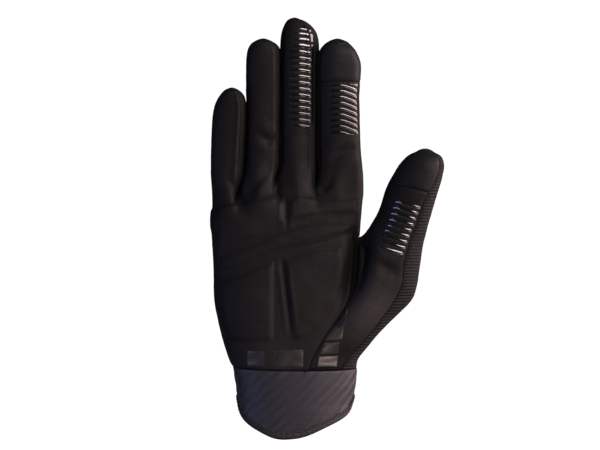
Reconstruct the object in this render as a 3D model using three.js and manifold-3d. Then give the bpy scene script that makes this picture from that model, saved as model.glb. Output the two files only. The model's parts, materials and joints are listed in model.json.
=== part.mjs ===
// A full-finger cycling glove for the right hand, as it is when worn: fingers up (+Z), palm towards -Y,
// thumb towards +X. Millimetres. The origin is the middle of the wrist opening, level with the lowest hem.
// The glove is cut from panels, and every panel is a hollow wall sewn to its neighbours along a seam.
import * as THREE from 'three';
import { mergeVertices } from 'three/addons/utils/BufferGeometryUtils.js';
import Module from 'manifold-3d';

const wasm = await Module();
wasm.setup();

// Driving dimensions
const LEATHER_WALL = 1.5;
const PADDED_WALL = 2.4;
const KNIT_WALL = 1.4;
const CUFF_WALL = 2.0;
const PAD_RISE = 1.5;
const SEAM_GAP = 0.4;
const PRINT_GAP = 0.45;
const PRINT_FILM = 0.45;
const PRINT_RIB = 0.75;
const BINDING_HEIGHT = 4.6;
const BINDING_SKIN = 0.7;
const BINDING_SLOT = 0.3;
const FAR = 60;
const SMALLEST = 0.01;

// The hand below the fingers, one row for each level from the wrist seam up. The last row is the level at
// which the fingers part, and its z is a base that each column's own height is added to.
const PALM_LEVELS = [
  { z: 40.4, ulnar: -36.2, radial: 35.6, front: 21.0, back: 20.0, seam: 7.5 },
  { z: 58.5, ulnar: -42.0, radial: 36.0, front: 22.0, back: 18.5, seam: 16.6 },
  { z: 77.5, ulnar: -46.1, radial: 37.0, front: 21.0, back: 17.0, seam: 29.0 },
  { z: 96.4, ulnar: -46.9, radial: 37.6, front: 19.0, back: 16.0, seam: 32.1 },
  { z: 114.6, ulnar: -48.0, radial: 37.6, front: 17.5, back: 15.2, seam: 34.0 },
  { z: 123.8, ulnar: -48.8, radial: 37.9, front: 16.5, back: 14.6, seam: 31.0 },
  { z: 133.0, ulnar: -48.7, radial: 38.7, front: 15.5, back: 13.8, seam: 28.0 },
  { z: 142.0, ulnar: -48.0, radial: 39.8, front: 13.8, back: 12.6, seam: 25.0 },
];
const PALM_POWER = 2.4;
const THUMB_LEVELS = 4;
const TOP_LEVEL = PALM_LEVELS.length - 1;
const RISE_SHARE = [0, 0, 0, 0, 0, 0.3, 0.65, 1];
const WRIST_TILT = 0.05;
const WRIST_ULNAR_RISE = 1.0;

// Where the fingers part: x and z of each web, from the little finger's outer side to the index finger's.
const WEBS = [
  { x: -45.4, z: 134.0 },
  { x: -31.4, z: 138.3 },
  { x: -9.2, z: 147.0 },
  { x: 13.6, z: 144.8 },
  { x: 37.2, z: 142.0 },
];
const WEB_DEPTH = 0.6;
const WEB_BACK_DROP = 4.0;
const WEB_RISE = 2.5;
const WEB_WIDTH = 1.4;
const FINGER_GAP = 0.6;
const FINGER_SLANT = 15;

// Each finger, one row for each section from its root to its tip. twist turns the palm side to the little finger.
const FINGERS = [
  {
    name: 'little', twist: 16, curl: 8, tipRow: 99,
    rows: [
      { z: 149.2, x: -38.6, halfWidth: 9.7, halfDepth: 9.6 },
      { z: 159.6, x: -38.2, halfWidth: 10.2, halfDepth: 9.0 },
      { z: 171.1, x: -37.8, halfWidth: 10.3, halfDepth: 8.8 },
      { z: 182.5, x: -37.4, halfWidth: 10.1, halfDepth: 8.6 },
      { z: 190.6, x: -37.0, halfWidth: 9.3, halfDepth: 8.2 },
      { z: 195.7, x: -36.7, halfWidth: 7.8, halfDepth: 7.0 },
      { z: 199.2, x: -36.4, halfWidth: 5.2, halfDepth: 4.8 },
      { z: 201.1, x: -36.3, halfWidth: 0, halfDepth: 0 },
    ],
  },
  {
    name: 'ring', twist: 12, curl: 7, tipRow: 99,
    rows: [
      { z: 155.0, x: -18.6, halfWidth: 10.2, halfDepth: 10.4 },
      { z: 167.0, x: -18.2, halfWidth: 10.3, halfDepth: 9.7 },
      { z: 180.0, x: -18.0, halfWidth: 10.3, halfDepth: 9.5 },
      { z: 194.0, x: -18.0, halfWidth: 10.4, halfDepth: 9.3 },
      { z: 208.4, x: -18.0, halfWidth: 10.4, halfDepth: 9.2 },
      { z: 218.0, x: -18.0, halfWidth: 10.2, halfDepth: 8.9 },
      { z: 223.6, x: -18.0, halfWidth: 8.9, halfDepth: 7.9 },
      { z: 227.2, x: -17.9, halfWidth: 6.2, halfDepth: 5.6 },
      { z: 229.2, x: -17.8, halfWidth: 0, halfDepth: 0 },
    ],
  },
  {
    name: 'middle', twist: 12, curl: 6, tipRow: 99,
    rows: [
      { z: 157.0, x: 2.5, halfWidth: 11.2, halfDepth: 10.8 },
      { z: 171.1, x: 2.6, halfWidth: 11.2, halfDepth: 10.2 },
      { z: 185.4, x: 2.6, halfWidth: 11.2, halfDepth: 10.0 },
      { z: 199.8, x: 2.6, halfWidth: 11.3, halfDepth: 9.8 },
      { z: 214.1, x: 2.6, halfWidth: 11.4, halfDepth: 9.6 },
      { z: 226.5, x: 2.7, halfWidth: 11.3, halfDepth: 9.3 },
      { z: 233.4, x: 2.3, halfWidth: 10.1, halfDepth: 8.6 },
      { z: 237.8, x: 1.5, halfWidth: 7.9, halfDepth: 7.0 },
      { z: 240.1, x: 0.6, halfWidth: 5.0, halfDepth: 4.8 },
      { z: 241.2, x: 0.3, halfWidth: 0, halfDepth: 0 },
    ],
  },
  {
    name: 'index', twist: 12, curl: 5, tipRow: 4,
    rows: [
      { z: 156.0, x: 26.1, halfWidth: 13.1, halfDepth: 11.2 },
      { z: 170.0, x: 25.4, halfWidth: 12.7, halfDepth: 10.7 },
      { z: 184.0, x: 25.4, halfWidth: 12.7, halfDepth: 10.4 },
      { z: 195.0, x: 25.2, halfWidth: 12.6, halfDepth: 10.2 },
      { z: 204.3, x: 25.2, halfWidth: 12.6, halfDepth: 10.0 },
      { z: 213.5, x: 25.3, halfWidth: 12.7, halfDepth: 9.6 },
      { z: 219.4, x: 25.2, halfWidth: 12.0, halfDepth: 9.1 },
      { z: 223.6, x: 25.0, halfWidth: 10.0, halfDepth: 8.0 },
      { z: 227.2, x: 25.3, halfWidth: 6.4, halfDepth: 5.6 },
      { z: 229.2, x: 25.5, halfWidth: 0, halfDepth: 0 },
    ],
  },
];
const FINGER_POWER = 2.5;

// The thumb, one row for each section, from the crotch side (inner) to the outer side, in x and z.
// blend mixes the section with the hand's own edge, so that the ball of the thumb grows out of the palm.
const THUMB_ROWS = [
  { innerX: 38.2, innerZ: 114.0, outerX: 37.2, outerZ: 49.4, y: -2.0, halfDepth: 20.5, twist: 5, blend: 0.45 },
  { innerX: 39.1, innerZ: 113.9, outerX: 51.6, outerZ: 64.6, y: -5.0, halfDepth: 19.5, twist: 8, blend: 0.15 },
  { innerX: 40.1, innerZ: 115.0, outerX: 66.4, outerZ: 78.8, y: -8.0, halfDepth: 18.0, twist: 28, blend: 0 },
  { innerX: 41.3, innerZ: 117.5, outerX: 70.8, outerZ: 91.0, y: -10.0, halfDepth: 16.0, twist: 38, blend: 0 },
  { innerX: 44.0, innerZ: 122.8, outerX: 73.0, outerZ: 107.0, y: -11.5, halfDepth: 14.2, twist: 34, blend: 0 },
  { innerX: 48.1, innerZ: 131.2, outerX: 76.0, outerZ: 120.4, y: -13.0, halfDepth: 13.0, twist: 29, blend: 0 },
  { innerX: 51.6, innerZ: 142.4, outerX: 79.6, outerZ: 133.6, y: -15.0, halfDepth: 12.4, twist: 27, blend: 0 },
  { innerX: 55.4, innerZ: 150.2, outerX: 83.4, outerZ: 145.0, y: -16.0, halfDepth: 11.6, twist: 16, blend: 0 },
  { innerX: 60.2, innerZ: 158.2, outerX: 85.6, outerZ: 155.4, y: -17.0, halfDepth: 9.8, twist: 11, blend: 0 },
  { innerX: 65.4, innerZ: 162.9, outerX: 83.2, outerZ: 161.8, y: -17.5, halfDepth: 6.4, twist: 14, blend: 0 },
];
const THUMB_TIP_ROW = 6;
const THUMB_TIP_RISE = 3.6;
const THUMB_POWER = 2.2;

// The cuff, one row for each level from the wrist seam down
const CUFF_LEVELS = [
  { z: 44.0, x: -0.3, halfWidth: 36.4, front: 21.0, back: 20.0 },
  { z: 39.0, x: 0.0, halfWidth: 35.6, front: 20.8, back: 19.8 },
  { z: 30.0, x: 0.3, halfWidth: 34.3, front: 20.4, back: 19.4 },
  { z: 20.0, x: -0.1, halfWidth: 32.8, front: 20.0, back: 19.0 },
  { z: 0.0, x: -0.6, halfWidth: 32.2, front: 19.8, back: 18.8 },
];
const CUFF_TURN = 10;
const CUFF_STEPS = 4;
// The hem's height round the wrist. The angle is 0 at the middle of the palm side and grows towards the thumb.
const HEM = [
  { angle: -180, z: 17.0 },
  { angle: -90, z: 21.0 },
  { angle: -75, z: 16.0 },
  { angle: -60, z: 11.0 },
  { angle: -30, z: 3.8 },
  { angle: -10, z: 0.0 },
  { angle: 0, z: 0.3 },
  { angle: 20, z: 4.0 },
  { angle: 60, z: 13.2 },
  { angle: 90, z: 21.0 },
  { angle: 180, z: 17.0 },
];
const CUFF_SEAM_ANGLE = 70;

const radians = THREE.MathUtils.degToRad;
const mix = (a, b, t) => a + (b - a) * t;

// A superellipse's cosine and sine, so that a section is rounder or squarer than an ellipse.
function bend(value, power) {
  return Math.sign(value) * Math.abs(value) ** (2 / power);
}

// The whole outer surface as one closed mesh of four-sided faces, each marked with the panel that it is cut from.
const points = [];
const faces = [];

function addPoint(x, y, z, padding = 0) {
  points.push({ place: new THREE.Vector3(x, y, z), padding });
  return points.length - 1;
}

function addFace(panel, a, b, c, d) {
  faces.push({ panel, corners: [a, b, c, d] });
}

// Palm levels: 20 columns across the palm side, 20 across the back and one on each edge, 42 in all.
// Each finger stands on five columns.
const COLUMNS = 19;
const RADIAL_EDGE = 20;
const ULNAR_EDGE = 41;
const RING = 42;
const SEAM_COLUMN = 17;
const THUMB_BACK = 22;

function topColumn(column) {
  const finger = Math.floor(column / 5);
  const share = (column % 5) / 4;
  const low = WEBS[finger];
  const high = WEBS[finger + 1];
  const lowX = low.x + (finger > 0 ? WEB_WIDTH / 2 : 0);
  const highX = high.x - (finger < 3 ? WEB_WIDTH / 2 : 0);
  return { x: mix(lowX, highX, share), z: mix(low.z, high.z, share), crown: Math.sin(Math.PI * share) };
}

function isAtWeb(column) {
  return column > 0 && column < COLUMNS && column % 5 % 4 === 0;
}

function columnX(level, column, isFront) {
  const row = PALM_LEVELS[level];
  const edge = 0.035 * (row.radial - row.ulnar);
  const first = row.ulnar + edge / 2;
  const last = row.radial - edge;
  const even = mix(first, last, column / COLUMNS);
  const slant = Math.tan(radians(FINGER_SLANT)) * row.front * WEB_DEPTH;
  const top = topColumn(column).x + (isAtWeb(column) ? slant * (isFront ? -1 : 1) : 0);
  const share = Math.min(1, Math.max(0, (level - THUMB_LEVELS) / (TOP_LEVEL - THUMB_LEVELS)));
  if (!isFront) return mix(even, top, share);
  const atSeam = column <= SEAM_COLUMN
    ? mix(first, row.seam, column / SEAM_COLUMN)
    : mix(row.seam, last, (column - SEAM_COLUMN) / (COLUMNS - SEAM_COLUMN) * 0.55 + 0.45);
  return mix(atSeam, top, share);
}

// The height of the seam between the hand and the cuff
function wristSeam(x, y) {
  const row = PALM_LEVELS[0];
  return row.z + WRIST_TILT * y + WRIST_ULNAR_RISE * Math.max(0, x / row.ulnar) ** 2;
}

function palmPoint(level, column, isFront) {
  const row = PALM_LEVELS[level];
  const middle = (row.ulnar + row.radial) / 2;
  const half = (row.radial - row.ulnar) / 2;
  const x = columnX(level, column, isFront);
  const top = topColumn(column);
  const across = Math.min(0.985, Math.abs((x - middle) / half));
  const depth = (1 - across ** PALM_POWER) ** (1 / PALM_POWER);
  const pinch = level === TOP_LEVEL ? mix(WEB_DEPTH, 1, top.crown) : 1;
  const softPinch = level === TOP_LEVEL - 1 ? mix(0.9, 1, top.crown) : 1;
  const away = depth * pinch * softPinch;
  const rise = (top.z - PALM_LEVELS[TOP_LEVEL].z) * RISE_SHARE[level];
  const drop = isFront ? 0 : WEB_BACK_DROP * RISE_SHARE[level] * (1 - top.crown);
  const y = isFront ? -row.front * away : row.back * away;
  const z = level === 0 ? wristSeam(x, y) : row.z + rise - drop;
  return addPoint(x, y, z, level < TOP_LEVEL ? 1 : 0.4);
}

function edgePoint(level, isRadial) {
  const row = PALM_LEVELS[level];
  const end = isRadial ? WEBS[4] : WEBS[0];
  const rise = (end.z - PALM_LEVELS[TOP_LEVEL].z) * RISE_SHARE[level];
  const x = isRadial ? row.radial : row.ulnar;
  const z = level === 0 ? wristSeam(x, 1.5) : row.z + rise;
  return addPoint(x, 1.5, z, level < TOP_LEVEL ? 1 : 0.4);
}

const palmRings = PALM_LEVELS.map((row, level) => {
  const inThumb = level > 0 && level < THUMB_LEVELS;
  const ring = [];
  for (let column = 0; column <= COLUMNS; column += 1) {
    const hidden = inThumb && column > SEAM_COLUMN;
    ring.push(hidden ? -1 : palmPoint(level, column, true));
  }
  ring.push(inThumb ? -1 : edgePoint(level, true));
  for (let column = COLUMNS; column >= 0; column -= 1) {
    const hidden = inThumb && column === COLUMNS;
    ring.push(hidden ? -1 : palmPoint(level, column, false));
  }
  ring.push(edgePoint(level, false));
  return ring;
});

for (let level = 0; level < TOP_LEVEL; level += 1) {
  for (let k = 0; k < RING; k += 1) {
    const inThumb = level < THUMB_LEVELS && k >= SEAM_COLUMN && k < THUMB_BACK;
    if (inThumb) continue;
    const next = (k + 1) % RING;
    const isFront = k <= COLUMNS || k === ULNAR_EDGE;
    const low = palmRings[level];
    const high = palmRings[level + 1];
    addFace(isFront ? 'palm_panel' : 'back_panel', low[k], low[next], high[next], high[k]);
  }
}

// Fingers: a ring has 5 points on the palm side, 5 on the back and one on each side
const STRIPS = ['side_strip_little_ring', 'side_strip_ring_middle', 'side_strip_middle_index'];
const FINGER_ANGLES = [-60, -30, 0, 30, 60, 92, 120, 150, 180, 210, 240, 268];

const topRing = palmRings[TOP_LEVEL];
const webMiddles = [1, 2, 3].map((web) => [-1, 1].map((side) => {
  const { x, z } = WEBS[web];
  return addPoint(x + side * WEB_WIDTH / 2, 0, z + WEB_RISE);
}));

function fingerMiddleY(finger, z) {
  const first = finger.rows[0].z;
  const last = finger.rows[finger.rows.length - 1].z;
  const along = Math.min(1, Math.max(0, (z - first) / (last - first)));
  return -0.5 - finger.curl * along ** 1.6;
}

function fingerAt(finger, z) {
  const rows = finger.rows;
  let i = 0;
  while (i < rows.length - 2 && z > rows[i + 1].z) i += 1;
  const share = Math.min(1, Math.max(0, (z - rows[i].z) / (rows[i + 1].z - rows[i].z)));
  return {
    x: mix(rows[i].x, rows[i + 1].x, share),
    y: fingerMiddleY(finger, z),
    halfWidth: mix(rows[i].halfWidth, rows[i + 1].halfWidth, share),
  };
}

// Fingers lie against each other: a point past the slanted line between two fingers moves back to its own side.
function keepApart(place, index, z) {
  const across = new THREE.Vector2(Math.cos(radians(FINGER_SLANT)), -Math.sin(radians(FINGER_SLANT)));
  for (const [other, side] of [[index + 1, 1], [index - 1, -1]]) {
    if (!FINGERS[other]) continue;
    const left = fingerAt(FINGERS[Math.min(index, other)], z);
    const right = fingerAt(FINGERS[Math.max(index, other)], z);
    const middleX = (left.x + left.halfWidth + right.x - right.halfWidth) / 2;
    const middle = new THREE.Vector2(middleX, (left.y + right.y) / 2);
    const past = place.clone().sub(middle).dot(across) * side + FINGER_GAP / 2;
    if (past > 0) place.addScaledVector(across, -side * past);
  }
  return place;
}

function fingerRing(finger, row) {
  const middleY = fingerMiddleY(finger, row.z);
  const shape = FINGER_ANGLES.map((angle) => {
    const turn = radians(angle);
    const across = bend(Math.sin(turn), FINGER_POWER) * row.halfWidth;
    const depth = -bend(Math.cos(turn), FINGER_POWER) * row.halfDepth;
    return new THREE.Vector2(across, depth).rotateAround(new THREE.Vector2(), -radians(finger.twist));
  });
  const widest = Math.max(...shape.map((p) => Math.abs(p.x)));
  const scale = row.halfWidth / widest;
  return shape.map((p) => {
    const place = new THREE.Vector2(row.x + p.x * scale, middleY + p.y);
    keepApart(place, FINGERS.indexOf(finger), row.z);
    return addPoint(place.x, place.y, row.z);
  });
}

function fingerPanel(index, k, isTip) {
  const palm = isTip ? 'index_tip_panel' : 'palm_panel';
  if (k <= 3) return palm;
  if (k === 4) return index < 3 ? STRIPS[index] : palm;
  if (k === 5) return index < 3 ? STRIPS[index] : 'back_panel';
  if (k <= 9) return 'back_panel';
  if (k === 10) return index > 0 ? STRIPS[index - 1] : 'back_panel';
  return index > 0 ? STRIPS[index - 1] : palm;
}

FINGERS.forEach((finger, index) => {
  const front = [0, 1, 2, 3, 4].map((j) => topRing[index * 5 + j]);
  const back = [4, 3, 2, 1, 0].map((j) => topRing[2 * RADIAL_EDGE - (index * 5 + j)]);
  const right = index === 3 ? topRing[RADIAL_EDGE] : webMiddles[index][0];
  const left = index === 0 ? topRing[ULNAR_EDGE] : webMiddles[index - 1][1];
  let ring = [...front, right, ...back, left];
  const tip = finger.rows[finger.rows.length - 1];
  finger.rows.slice(0, -1).forEach((row, station) => {
    const next = fingerRing(finger, row);
    for (let k = 0; k < 12; k += 1) {
      const after = (k + 1) % 12;
      addFace(fingerPanel(index, k, station > finger.tipRow), ring[k], ring[after], next[after], next[k]);
    }
    ring = next;
  });
  const middleRow = [ring[11]];
  for (const share of [0.25, 0.5, 0.75]) {
    const low = points[ring[11]].place;
    const high = points[ring[5]].place;
    const dome = mix(low.z, tip.z, 1 - (2 * share - 1) ** 2 * 1.4);
    middleRow.push(addPoint(mix(low.x, high.x, share), mix(low.y, high.y, share), dome));
  }
  middleRow.push(ring[5]);
  const isTipPanel = index === 3;
  for (let j = 0; j < 4; j += 1) {
    addFace(isTipPanel ? 'index_tip_panel' : 'palm_panel', ring[j], ring[j + 1], middleRow[j + 1], middleRow[j]);
    addFace('back_panel', middleRow[j], middleRow[j + 1], ring[9 - j], ring[10 - j]);
  }
});

// The bottom of the gap between two fingers
webMiddles.forEach(([left, right], web) => {
  const column = web * 5 + 4;
  addFace(STRIPS[web], topRing[column], topRing[column + 1], right, left);
  addFace(STRIPS[web], left, right, topRing[2 * RADIAL_EDGE - column - 1], topRing[2 * RADIAL_EDGE - column]);
});

// Thumb: a ring has 5 points on the palm side, 4 on the outer side, 5 on the back and 4 on the crotch side
const THUMB_RING = 18;
const wrist = palmRings[0];
const crotch = palmRings[THUMB_LEVELS];
const baseRing = [
  ...[4, 3, 2, 1, 0].map((level) => palmRings[level][SEAM_COLUMN]),
  ...[18, 19, 20, 21].map((k) => wrist[k]),
  ...[0, 1, 2, 3, 4].map((level) => palmRings[level][THUMB_BACK]),
  ...[21, 20, 19, 18].map((k) => crotch[k]),
];

function thumbRing(row) {
  const middle = new THREE.Vector3((row.innerX + row.outerX) / 2, row.y, (row.innerZ + row.outerZ) / 2);
  const across = new THREE.Vector3((row.outerX - row.innerX) / 2, 0, (row.outerZ - row.innerZ) / 2);
  return baseRing.map((base, k) => {
    const turn = radians(k * 20 - 40 - row.twist);
    const place = middle.clone()
      .addScaledVector(across, bend(Math.sin(turn), THUMB_POWER))
      .addScaledVector(new THREE.Vector3(0, -1, 0), row.halfDepth * bend(Math.cos(turn), THUMB_POWER))
      .lerp(points[base].place, row.blend);
    return addPoint(place.x, place.y, place.z);
  });
}

function thumbPanel(k, isTip) {
  if (k > 4 && k < 17) return 'thumb_back_panel';
  return isTip ? 'thumb_tip_panel' : 'thumb_panel';
}

let thumbEnd = baseRing;
THUMB_ROWS.forEach((row, station) => {
  const next = thumbRing(row);
  for (let k = 0; k < THUMB_RING; k += 1) {
    const after = (k + 1) % THUMB_RING;
    addFace(thumbPanel(k, station > THUMB_TIP_ROW), thumbEnd[k], thumbEnd[after], next[after], next[k]);
  }
  thumbEnd = next;
});

const lastRow = THUMB_ROWS[THUMB_ROWS.length - 1];
const tipAxis = new THREE.Vector3(lastRow.innerZ - lastRow.outerZ, 0, lastRow.outerX - lastRow.innerX).normalize();
const tipGrid = [];
for (let r = 0; r <= 5; r += 1) {
  const gridRow = [];
  const start = r === 0 ? thumbEnd[0] : r === 5 ? thumbEnd[13] : thumbEnd[18 - r];
  const end = r === 0 ? thumbEnd[4] : r === 5 ? thumbEnd[9] : thumbEnd[4 + r];
  for (let c = 0; c <= 4; c += 1) {
    const onEdge = r === 0 ? thumbEnd[c] : r === 5 ? thumbEnd[13 - c] : c === 0 ? start : c === 4 ? end : -1;
    if (onEdge >= 0) {
      gridRow.push(onEdge);
      continue;
    }
    const front = points[thumbEnd[c]].place;
    const back = points[thumbEnd[13 - c]].place;
    const side = points[start].place.clone().lerp(points[end].place, c / 4);
    const dome = (1 - (2 * r / 5 - 1) ** 2) * (1 - (c / 2 - 1) ** 2);
    const place = front.clone().lerp(back, r / 5).lerp(side, 0.5).addScaledVector(tipAxis, THUMB_TIP_RISE * dome);
    gridRow.push(addPoint(place.x, place.y, place.z));
  }
  tipGrid.push(gridRow);
}
for (let r = 0; r < 5; r += 1) {
  for (let c = 0; c < 4; c += 1) {
    const panel = r === 0 ? 'thumb_tip_panel' : 'thumb_back_panel';
    addFace(panel, tipGrid[r][c], tipGrid[r][c + 1], tipGrid[r + 1][c + 1], tipGrid[r + 1][c]);
  }
}

// Outward direction at each point of the surface
function faceNormal(corners) {
  const [a, b, c, d] = corners.map((i) => points[i].place);
  return c.clone().sub(a).cross(d.clone().sub(b));
}

for (const point of points) point.around = [];
for (const face of faces) {
  const normal = faceNormal(face.corners).normalize();
  for (const corner of face.corners) points[corner].around.push(normal);
}
for (const point of points) {
  const sum = point.around.reduce((total, normal) => total.add(normal), new THREE.Vector3()).normalize();
  const share = point.around.reduce((total, normal) => total + normal.dot(sum), 0) / point.around.length;
  point.normal = sum.divideScalar(Math.max(share, 0.7));
}

// A panel's wall: its faces between two distances from the surface, closed round the edge. Each edge stands
// back from the seam by setBack.
function wall(chosen, outerDistance, innerDistance, setBack = SEAM_GAP / 2) {
  const pull = new Map();
  const edgeUse = new Map();
  for (const face of chosen) {
    const centre = new THREE.Vector3();
    for (const corner of face.corners) centre.addScaledVector(points[corner].place, 0.25);
    face.corners.forEach((corner, i) => {
      const next = face.corners[(i + 1) % 4];
      edgeUse.set(`${corner}:${next}`, true);
      if (!pull.has(corner)) pull.set(corner, new THREE.Vector3());
      pull.get(corner).add(centre.clone().sub(points[corner].place).normalize());
    });
  }
  const edges = [...edgeUse.keys()]
    .map((key) => key.split(':').map(Number))
    .filter(([a, b]) => !edgeUse.has(`${b}:${a}`));
  const onEdge = new Set(edges.flat());
  const tangents = new Map();
  for (const [a, b] of edges) {
    const along = points[b].place.clone().sub(points[a].place).normalize();
    for (const end of [a, b]) {
      if (!tangents.has(end)) tangents.set(end, new THREE.Vector3());
      tangents.get(end).add(along);
    }
  }
  const slots = new Map([...pull.keys()].map((corner, i) => [corner, i]));
  const outer = [];
  const inner = [];
  for (const corner of slots.keys()) {
    const { place, normal, padding } = points[corner];
    const start = place.clone();
    if (onEdge.has(corner)) {
      const along = tangents.get(corner).normalize();
      const inward = normal.clone().cross(along);
      if (inward.lengthSq() < 1e-6) inward.copy(pull.get(corner));
      start.addScaledVector(inward.normalize(), setBack);
    }
    outer.push(start.clone().addScaledVector(normal, outerDistance));
    inner.push(start.clone().addScaledVector(normal, innerDistance(padding)));
  }
  const count = slots.size;
  const index = [];
  for (const face of chosen) {
    const [a, b, c, d] = face.corners.map((corner) => slots.get(corner));
    index.push(a, b, c, a, c, d);
    index.push(a + count, c + count, b + count, a + count, d + count, c + count);
  }
  for (const [from, to] of edges) {
    const a = slots.get(from);
    const b = slots.get(to);
    index.push(a, a + count, b + count, a, b + count, b);
  }
  const geometry = new THREE.BufferGeometry().setFromPoints([...outer, ...inner]);
  geometry.setIndex(index);
  return geometry;
}

function panelFaces(...names) {
  return faces.filter((face) => names.includes(face.panel));
}

// Solids for joining and cutting
function toSolid(geometry) {
  const bare = new THREE.BufferGeometry();
  bare.setAttribute('position', geometry.getAttribute('position').clone());
  if (geometry.index) bare.setIndex(geometry.index.clone());
  const merged = mergeVertices(bare, 1e-4);
  return new wasm.Manifold(new wasm.Mesh({
    numProp: 3,
    vertProperties: new Float32Array(merged.attributes.position.array),
    triVerts: new Uint32Array(merged.index.array),
  }));
}

function toGeometry(solid) {
  const mesh = solid.simplify(SMALLEST).getMesh();
  const geometry = new THREE.BufferGeometry();
  geometry.setAttribute('position', new THREE.BufferAttribute(new Float32Array(mesh.vertProperties), 3));
  geometry.setIndex(new THREE.BufferAttribute(new Uint32Array(mesh.triVerts), 1));
  return geometry;
}

// An outline in x and z, pushed through the palm side of the glove along y
function palmPrism(outline) {
  const shape = new THREE.Shape(outline.map(([x, z]) => new THREE.Vector2(x, z)));
  const geometry = new THREE.ExtrudeGeometry(shape, { depth: FAR, bevelEnabled: false });
  geometry.rotateX(Math.PI / 2);
  return toSolid(geometry);
}

// The foam pads under the palm leather, as outlines in x and z
const PADS = {
  ulnarKnuckle: [
    [-44.5, 108.4], [-44.8, 134.0], [-30.5, 135.5], [-12.0, 139.5], [-6.2, 136.0], [-6.2, 124.0], [-20.0, 116.2],
    [-31.0, 112.0],
  ],
  radialKnuckle: [
    [-3.6, 124.2], [-3.6, 136.0], [1.0, 140.0], [12.0, 138.5], [34.5, 137.0], [35.5, 128.6], [15.0, 127.6],
  ],
  crease: [
    [-43.8, 95.0], [-42.5, 104.4], [-29.0, 109.2], [-9.0, 118.2], [3.0, 121.8], [15.0, 123.8], [33.0, 123.8],
    [32.0, 118.2], [14.0, 112.6], [-8.0, 108.4], [-25.0, 100.6],
  ],
  ulnarHeel: [
    [-37.6, 56.0], [-42.0, 72.0], [-43.2, 89.0], [-26.0, 96.4], [-11.6, 102.2], [-11.6, 60.0], [-12.6, 56.0],
  ],
  radialHeel: [
    [-1.6, 58.0], [-6.2, 101.0], [2.0, 105.0], [14.0, 109.0], [26.0, 109.6], [28.6, 99.0], [27.0, 88.0],
    [22.4, 77.0], [14.0, 66.0], [6.2, 58.0], [2.6, 56.0],
  ],
};

// The moulded silicone grips: the area they cover in x and z, and their ribs
const GRIPS = {
  middle_grip: {
    panel: 'palm_panel', x: -6.2, z: 177.0, width: 16.6, height: 60.0, round: 6.5, tilt: 0, ribs: 17, ribTilt: 0,
  },
  index_grip: {
    panel: 'palm_panel', x: 17.4, z: 173.4, width: 19.0, height: 30.0, round: 0.5, tilt: 0, ribs: 9, ribTilt: -13,
  },
  thumb_grip: {
    panel: 'thumb_panel', x: 45.7, z: 109.4, width: 16.5, height: 31.0, round: 0.5, tilt: -20.5, ribs: 9, ribTilt: 0,
  },
};
const RIB_SHARE = 0.52;

// The plain glossy blocks of the wrist grip, as outlines in x and z
const WRIST_BLOCKS = {
  wrist_grip_1: [[-27.0, 42.0], [-27.0, 50.6], [-17.4, 50.8], [-17.4, 42.0]],
  wrist_grip_2: [[-12.4, 42.0], [-12.4, 51.0], [4.6, 51.6], [4.6, 42.0]],
  wrist_grip_3: [[12.6, 42.0], [13.8, 47.4], [24.4, 47.8], [23.4, 42.0]],
  wrist_grip_4: [[14.2, 49.0], [15.8, 55.2], [25.4, 55.6], [24.6, 49.4]],
  wrist_grip_5: [[16.6, 56.8], [24.4, 68.8], [29.4, 74.0], [26.6, 57.2]],
};
const BLOCK_THICKNESS = 0.6;

// Materials
function material(color, roughness, metalness = 0) {
  return new THREE.MeshStandardMaterial({ color, roughness, metalness });
}

const palmLeather = material(0x1c1a1c, 0.78);
const tipLeather = material(0x20212a, 0.7);
const stretchKnit = material(0x241f22, 0.92);
const sideKnit = material(0x17151a, 0.9);
const cuffFabric = material(0x34323c, 0.85);
const bindingTape = material(0x2a2830, 0.8);
const silicone = material(0x0e0d10, 0.18);

const glove = new THREE.Group();
glove.name = 'glove';

function addPiece(name, geometry, surface) {
  const mesh = new THREE.Mesh(geometry, surface);
  mesh.name = name;
  glove.add(mesh);
}

// The room that a panel takes up with its half of the seam gap, all round
function clearance(name) {
  return toSolid(wall(panelFaces(name), SEAM_GAP / 2, () => -PADDED_WALL, 0));
}

function largestPart(solid) {
  return solid.decompose().sort((a, b) => b.volume() - a.volume())[0];
}

// The palm panel with its pads
const paddedWall = (padding) => -mix(LEATHER_WALL, PADDED_WALL, padding);
let palm = toSolid(wall(panelFaces('palm_panel'), 0, paddedWall));
const padLayer = toSolid(wall(panelFaces('palm_panel'), PAD_RISE, () => -0.6));
for (const outline of Object.values(PADS)) palm = palm.add(padLayer.intersect(palmPrism(outline)));
addPiece('palm_panel', toGeometry(palm), palmLeather);

// The other panels. Where panels fold together, a panel is trimmed clear of those in its beside list.
const PANELS = {
  index_tip_panel: { thickness: LEATHER_WALL, surface: tipLeather, beside: [] },
  thumb_panel: { thickness: LEATHER_WALL, surface: palmLeather, beside: [] },
  thumb_tip_panel: { thickness: LEATHER_WALL, surface: tipLeather, beside: [] },
  back_panel: { thickness: KNIT_WALL, surface: stretchKnit, beside: [] },
  thumb_back_panel: { thickness: KNIT_WALL, surface: stretchKnit, beside: ['thumb_panel'] },
  side_strip_little_ring: { thickness: KNIT_WALL, surface: sideKnit, beside: ['palm_panel', 'back_panel'] },
  side_strip_ring_middle: { thickness: KNIT_WALL, surface: sideKnit, beside: ['palm_panel', 'back_panel'] },
  side_strip_middle_index: { thickness: KNIT_WALL, surface: sideKnit, beside: ['palm_panel', 'back_panel'] },
};
for (const [name, { thickness, surface, beside }] of Object.entries(PANELS)) {
  let solid = toSolid(wall(panelFaces(name), 0, () => -thickness));
  for (const other of beside) solid = solid.subtract(clearance(other));
  addPiece(name, toGeometry(largestPart(solid)), surface);
}

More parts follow.
